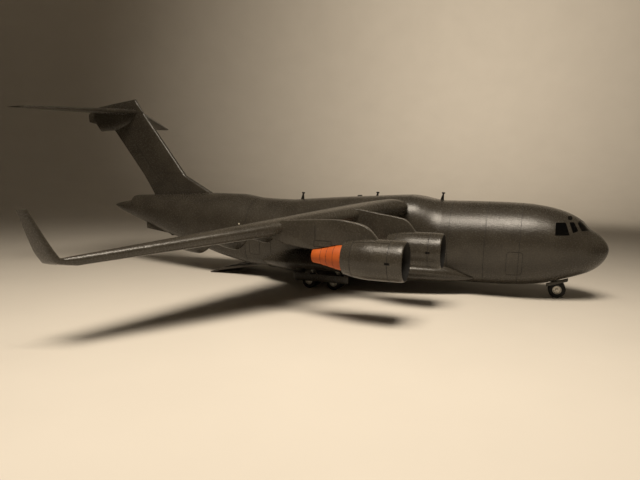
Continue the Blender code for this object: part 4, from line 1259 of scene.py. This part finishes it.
seam_ys = (-RAMP_SEAM_HALF, RAMP_SEAM_HALF)
scribe(ramp, [trace(ramp_top, [(aft, y) for y in seam_ys]) for aft in RAMP_SEAMS])
fit(ramp, "cargo_ramp", "dark_grey_paint", "cargo_ramp")
for label, side in SIDES:
    for position, middle in zip(("inner", "outer"), TREAD_PLACES):
        rings = []
        for y in (side * middle - TREAD_HALF_WIDTH, side * middle + TREAD_HALF_WIDTH):
            rings.append([swung(RAMP_HINGE, RAMP_DOWN, aft, y, up) for aft, up in TREAD_PROFILE])
        tread = soften(loft(f"ramp_tread_{position}_{label}", rings, TYRE_VINYL), 0.01, 2)
        fit(tread, "cargo_ramp", "tyre_black")

# Upper cargo door
# A stiff plate that closes the opening behind the ramp. It hangs on a barrel at the tail end and is
# swung up into the body, with seams across its lower face.
DOOR_HINGE = (41.55, 3.42)
DOOR_UP = math.radians(-30)
DOOR_HALF_THICKNESS = 0.085
# Distance ahead of the hinge, half width.
DOOR_CORNERS = ((0.1, 1.5), (4.75, 2.4), (4.75, -2.4), (0.1, -1.5))
DOOR_BARREL = 0.12
DOOR_SEAMS = (0.9, 1.9, 2.9, 3.9)
DOOR_SEAM_HALF = 1.4
rings = []
for up in (-DOOR_HALF_THICKNESS, DOOR_HALF_THICKNESS):
    rings.append([swung(DOOR_HINGE, DOOR_UP, -ahead, y, up) for ahead, y in DOOR_CORNERS])
door = soften(loft("upper_door_plate", rings, GREY_PAINT), 0.03, 2)
carve(door, barrel(DOOR_HINGE, DOOR_BARREL, DOOR_CORNERS[0][1]), operation="UNION")


def door_face(ahead, y):
    return swung(DOOR_HINGE, DOOR_UP, -ahead, y, -DOOR_HALF_THICKNESS)


seam_ys = (-DOOR_SEAM_HALF, DOOR_SEAM_HALF)
scribe(door, [trace(door_face, [(ahead, y) for y in seam_ys]) for ahead in DOOR_SEAMS])
fit(door, "cargo_door", "dark_grey_paint", "cargo_door")

# Tail fin
# One blunt-nosed moulding with a long fillet that runs down the spine ahead of it. The rudder is
# scribed in two parts.
# Height, leading edge, trailing edge, half thickness.
FIN = (
    (6.6, 35.7, 44.2, 0.30),
    (7.2, 36.55, 44.5, 0.30),
    (7.78, 37.5, 44.8, 0.31),
    (9.4, 40.55, 45.8, 0.32),
    (13.0, 43.3, 48.5, 0.28),
    (15.5, 45.2, 50.4, 0.26),
)
FIN_NOSE_SHARE = 0.2
FIN_TRAILING_SHARE = 0.14
RUDDER_SHARE = 0.68
RUDDER_HEIGHTS = (8.3, 11.7, 15.3)
FIN_SEAMS = (9.6, 14.1)
FIN_STEP = 0.25


def fin_thickness(share):
    """A section that is nearly flat across its nose, then tapers."""
    if share < FIN_NOSE_SHARE:
        return (1 - (1 - share / FIN_NOSE_SHARE) ** 3) ** (1 / 3)
    return 1 - (1 - FIN_TRAILING_SHARE) * ((share - FIN_NOSE_SHARE) / (1 - FIN_NOSE_SHARE)) ** 1.5


def fin_skin(height, way):
    _, leading, trailing, half = straight(FIN, height)
    share = way * way
    y = math.copysign(half * fin_thickness(share), way)
    return at(leading + share * (trailing - leading), y, height)


def fin_face(side):
    return lambda height, share: fin_skin(height, side * math.sqrt(share))


rings = [[fin_skin(z, way) for way in ways] for z in spread([row[0] for row in FIN], FIN_STEP)]
fin = loft("fin_moulding", rings, GREY_PAINT)
for _, side in SIDES:
    face = fin_face(side)
    foot, _, head = RUDDER_HEIGHTS
    scribe(fin, [trace(face, ((foot, RUDDER_SHARE), (head, RUDDER_SHARE)))])
    scribe(fin, [trace(face, ((z, RUDDER_SHARE + 0.01), (z, 0.98))) for z in RUDDER_HEIGHTS[:2]])
    scribe(fin, [trace(face, ((z, 0.05), (z, RUDDER_SHARE - 0.02))) for z in FIN_SEAMS])
fit(fin, "airframe", "dark_grey_paint", "fin")

# Tail bullet
# The fairing where the tailplane crosses the top of the fin, moulded as one slim body that is deep
# in the middle and drawn out at both ends.
# Station, top, bottom, half width.
BULLET = (
    (45.45, 15.75, 15.35, 0.10),
    (46.25, 16.97, 15.0, 0.22),
    (47.0, 16.85, 14.5, 0.32),
    (48.8, 16.60, 13.95, 0.40),
    (50.9, 16.28, 13.80, 0.40),
    (51.5, 16.18, 14.55, 0.34),
    (52.46, 15.6, 14.75, 0.12),
)
BULLET_SQUARENESS = 0.7
BULLET_POINTS = 56
BULLET_STEP = 0.15
rings = []
for station in spread([row[0] for row in BULLET], BULLET_STEP):
    _, top, bottom, half = straight(BULLET, station)
    ring = []
    for k in range(BULLET_POINTS):
        angle = math.tau * k / BULLET_POINTS
        across, up = squared(angle, BULLET_SQUARENESS)
        ring.append(at(station, half * across, (top + bottom) / 2 + (top - bottom) / 2 * up))
    rings.append(ring)
bullet = loft("bullet_moulding", rings, GREY_PAINT)
fit(bullet, "airframe", "dark_grey_paint", "tail_bullet_fairing")

# Tailplanes
# A slim blunt-nosed moulding on each side of the bullet, with the elevator scribed in two parts.
# Distance from the middle, leading edge, trailing edge, height, half thickness.
TAILPLANE = (
    (0.1, 45.9, 51.35, 15.72, 0.30),
    (3.5, 47.35, 51.6, 15.46, 0.22),
    (9.3, 50.0, 52.0, 14.99, 0.09),
    (9.42, 50.2, 51.96, 14.98, 0.06),
)
TAILPLANE_ROOT_Y = 0.303
ELEVATOR_SHARE = 0.7
ELEVATOR_ENDS = (0.9, 5.0, 9.0)
TAILPLANE_STEP = 0.3


def tailplane_skin(side, y, way):
    _, leading, trailing, height, half = straight(TAILPLANE, y)
    share = way * way
    up = math.copysign(half * fin_thickness(share), way)
    return at(leading + share * (trailing - leading), side * y, height + up)


def tailplane_face(side, turn):
    return lambda y, share: tailplane_skin(side, y, turn * math.sqrt(share))


for label, side in SIDES:
    places = spread([TAILPLANE_ROOT_Y, *[row[0] for row in TAILPLANE[1:]]], TAILPLANE_STEP)
    rings = [[tailplane_skin(side, y, way) for way in ways] for y in places]
    plane = loft(f"tailplane_moulding_{label}", rings, GREY_PAINT)
    for turn in (-1, 1):
        face = tailplane_face(side, turn)
        hinge = ((ELEVATOR_ENDS[0], ELEVATOR_SHARE), (ELEVATOR_ENDS[-1], ELEVATOR_SHARE))
        scribe(plane, [trace(face, hinge)])
        scribe(plane, [trace(face, ((y, ELEVATOR_SHARE + 0.01), (y, 0.98))) for y in ELEVATOR_ENDS])
    fit(plane, "airframe", "dark_grey_paint", f"tailplane_{label}")

# Tail strakes
# Two thin blades cemented under the tail, one on each side of the upper door.
STRAKE = ((41.8, 4.3), (41.8, 3.46), (44.9, 3.88), (44.9, 5.2))
STRAKE_Y = 1.15
STRAKE_HALF = 0.06
for label, side in SIDES:
    ys = (side * STRAKE_Y - STRAKE_HALF, side * STRAKE_Y + STRAKE_HALF)
    strake = slab(f"strake_{label}", rounded(STRAKE, 0.06), ys, GREY_PAINT)
    fit(soften(strake, 0.03, 2), "airframe", "dark_grey_paint", f"tail_strake_{label}")

# Aerials
# Three T-shaped blades cut from thin sheet, painted black and cemented on the spine.
# Station, height of the foot, height of the top.
AERIALS = ((13.8, 7.84, 8.5), (19.83, 7.92, 8.36), (27.3, 7.48, 8.12))
AERIAL_FOOT = ((0.3, -0.15), (-0.08, -0.15))
AERIAL_HEAD = ((-0.05, -0.15), (-0.14, -0.12), (-0.14, 0), (0.15, 0), (0.13, -0.1), (0.06, -0.15))
AERIAL_HALF = 0.06
# Satin black enamel, brushed: near black, with slow ripples left by the brush.
BLACK_PAINT = sprayed("satin_black_brushed_enamel", "#141312", "#1d1b19", 0.4, 0.6, 0.01)
for i, (station, foot, top) in enumerate(AERIALS):
    outline = [(station + aft, foot + up) for aft, up in AERIAL_FOOT]
    outline += [(station + aft, top + up) for aft, up in AERIAL_HEAD]
    aerial = slab(f"aerial_blade_{i + 1}", outline, (-AERIAL_HALF, AERIAL_HALF), BLACK_PAINT)
    fit(soften(aerial, 0.02, 2), "airframe", "aerial_black", f"aerial_{i + 1}")

# Flank lenses
# A small lens on each flank behind the wing, pressed into the skin and backed with white.
LENS_PLACE = (32.42, 5.06)
LENS_RADIUS = 0.075
LENS_CROWN = 0.05
LENS_DEPTH = -0.08
LENS_STEPS = 12
# Moulded white styrene under clear lacquer: glossy, with a fine prismatic pattern.
WHITE_LENS, tree, shader = blank(
    "lacquered_white_styrene", Base_Color=linear("#e8e2d2"), Roughness=0.15, IOR=1.5
)
place = add(tree, "TexCoord").outputs["Object"]
prisms = add(tree, "TexVoronoi", {"Vector": place, "Scale": 1 / (0.3 * MM)}).outputs["Distance"]
prisms = add(tree, "Bump", {"Height": prisms, "Distance": 0.02 * MM, "Strength": 0.5})
tree.links.new(prisms.outputs["Normal"], shader.inputs["Normal"])
for label, side in SIDES:
    turns = [math.pi / 2 * k / LENS_STEPS for k in range(LENS_STEPS + 1)]
    profile = [(LENS_RADIUS * math.sin(a), side * LENS_CROWN * math.cos(a)) for a in turns]
    profile += [(LENS_RADIUS, side * LENS_DEPTH), (0, side * LENS_DEPTH)]
    lens = turned(f"flank_lens_{label}", profile, flank(side)(*LENS_PLACE), "Y", WHITE_LENS, steps=32)
    fit(lens, "airframe", "smoked_clear")

# Floor and backdrop
# A sweep of matt cream paper: flat under the plane, and curved up far behind it.
FLOOR_RADIUS = 0.85
WALL_RADIUS = 1.4
WALL_HEIGHT = 1.5
SWEEP_STEPS = 24
SWEEP_POINTS = 96
# Matt coated paper: pale and even, with a faint cloudiness that is only tone.
PAPER, tree, shader = blank("matt_coated_cream_paper", Roughness=0.85, IOR=1.4)
place = add(tree, "TexCoord").outputs["Object"]
clouds = {"Vector": place, "Scale": 1 / (60 * MM), "Detail": 4.0}
clouds = add(tree, "TexNoise", clouds).outputs["Fac"]
tones = {"Fac": clouds, "Color1": linear("#d0cac0"), "Color2": linear("#d8d2c8")}
tree.links.new(add(tree, "MixRGB", tones).outputs["Color"], shader.inputs["Base Color"])
curve = WALL_RADIUS - FLOOR_RADIUS
sweep = [(FLOOR_RADIUS, 0.0)]
for k in range(1, SWEEP_STEPS + 1):
    turn = math.pi / 2 * k / SWEEP_STEPS
    sweep.append((FLOOR_RADIUS + curve * math.sin(turn), curve * (1 - math.cos(turn))))
sweep.append((WALL_RADIUS, WALL_HEIGHT))
bm = bmesh.new()
rows = []
for radius, height in sweep:
    turns = [math.tau * k / SWEEP_POINTS for k in range(SWEEP_POINTS)]
    rows.append([bm.verts.new((radius * math.cos(a), radius * math.sin(a), height)) for a in turns])
bm.faces.new(rows[0])
for row, following in zip(rows, rows[1:]):
    for i in range(SWEEP_POINTS):
        j = (i + 1) % SWEEP_POINTS
        bm.faces.new((row[i], row[j], following[j], following[i]))
paper = solid("paper_sweep", bm, PAPER)

# Light and camera
# One softbox above the nose on the near side, one behind that lights the paper, a weak overhead
# fill, and the photographer's camera, low on the starboard bow.
# Place, aim, width and height, power, and spread in degrees.
LAMPS = {
    "softbox": ((0.1, -0.27, 0.52), (0.06, -0.14, 0.0), (0.32, 0.2), 1.15, 92),
    "paper_light": ((-0.02, 0.45, 0.8), (-0.04, 1.4, 0.35), (0.4, 0.4), 3.4, 118),
    "overhead_fill": ((0.0, 0.0, 1.2), (0.0, 0.0, 0.0), (0.9, 0.9), 0.35, 160),
}
WARM_LIGHT = linear("#fff1dd")
ROOM_GLOW = 0.03
CAMERA_LENS = 27.4963
CAMERA_SENSOR = 36
CAMERA_SHIFT = (-0.0806826, 0.0791818)
CAMERA_PLACE = (0.1352864, -0.3043177, 0.0631215)
CAMERA_TURN = (77.633, -1.454, 17.370)


def lamp(name, place, aim, size, power, beam):
    light = bpy.data.lights.new(name, "AREA")
    light.shape = "RECTANGLE"
    light.size, light.size_y = size
    light.energy = power
    light.spread = math.radians(beam)
    light.color = WARM_LIGHT[:3]
    made = bpy.data.objects.new(name, light)
    made.location = place
    made.rotation_euler = (Vector(aim) - Vector(place)).to_track_quat("-Z", "Y").to_euler()
    bpy.context.scene.collection.objects.link(made)


for name, settings in LAMPS.items():
    lamp(name, *settings)
bpy.context.scene.view_settings.view_transform = "Standard"
world = bpy.data.worlds.new("dim_room")
world.use_nodes = True
world.node_tree.nodes["Background"].inputs["Color"].default_value = WARM_LIGHT
world.node_tree.nodes["Background"].inputs["Strength"].default_value = ROOM_GLOW
bpy.context.scene.world = world

camera = bpy.data.cameras.new("camera")
camera.lens = CAMERA_LENS
camera.sensor_width = CAMERA_SENSOR
camera.shift_x, camera.shift_y = CAMERA_SHIFT
camera.clip_start = 0.01
viewpoint = bpy.data.objects.new("camera", camera)
viewpoint.location = CAMERA_PLACE
viewpoint.rotation_euler = [math.radians(angle) for angle in CAMERA_TURN]
bpy.context.scene.collection.objects.link(viewpoint)
bpy.context.scene.camera = viewpoint
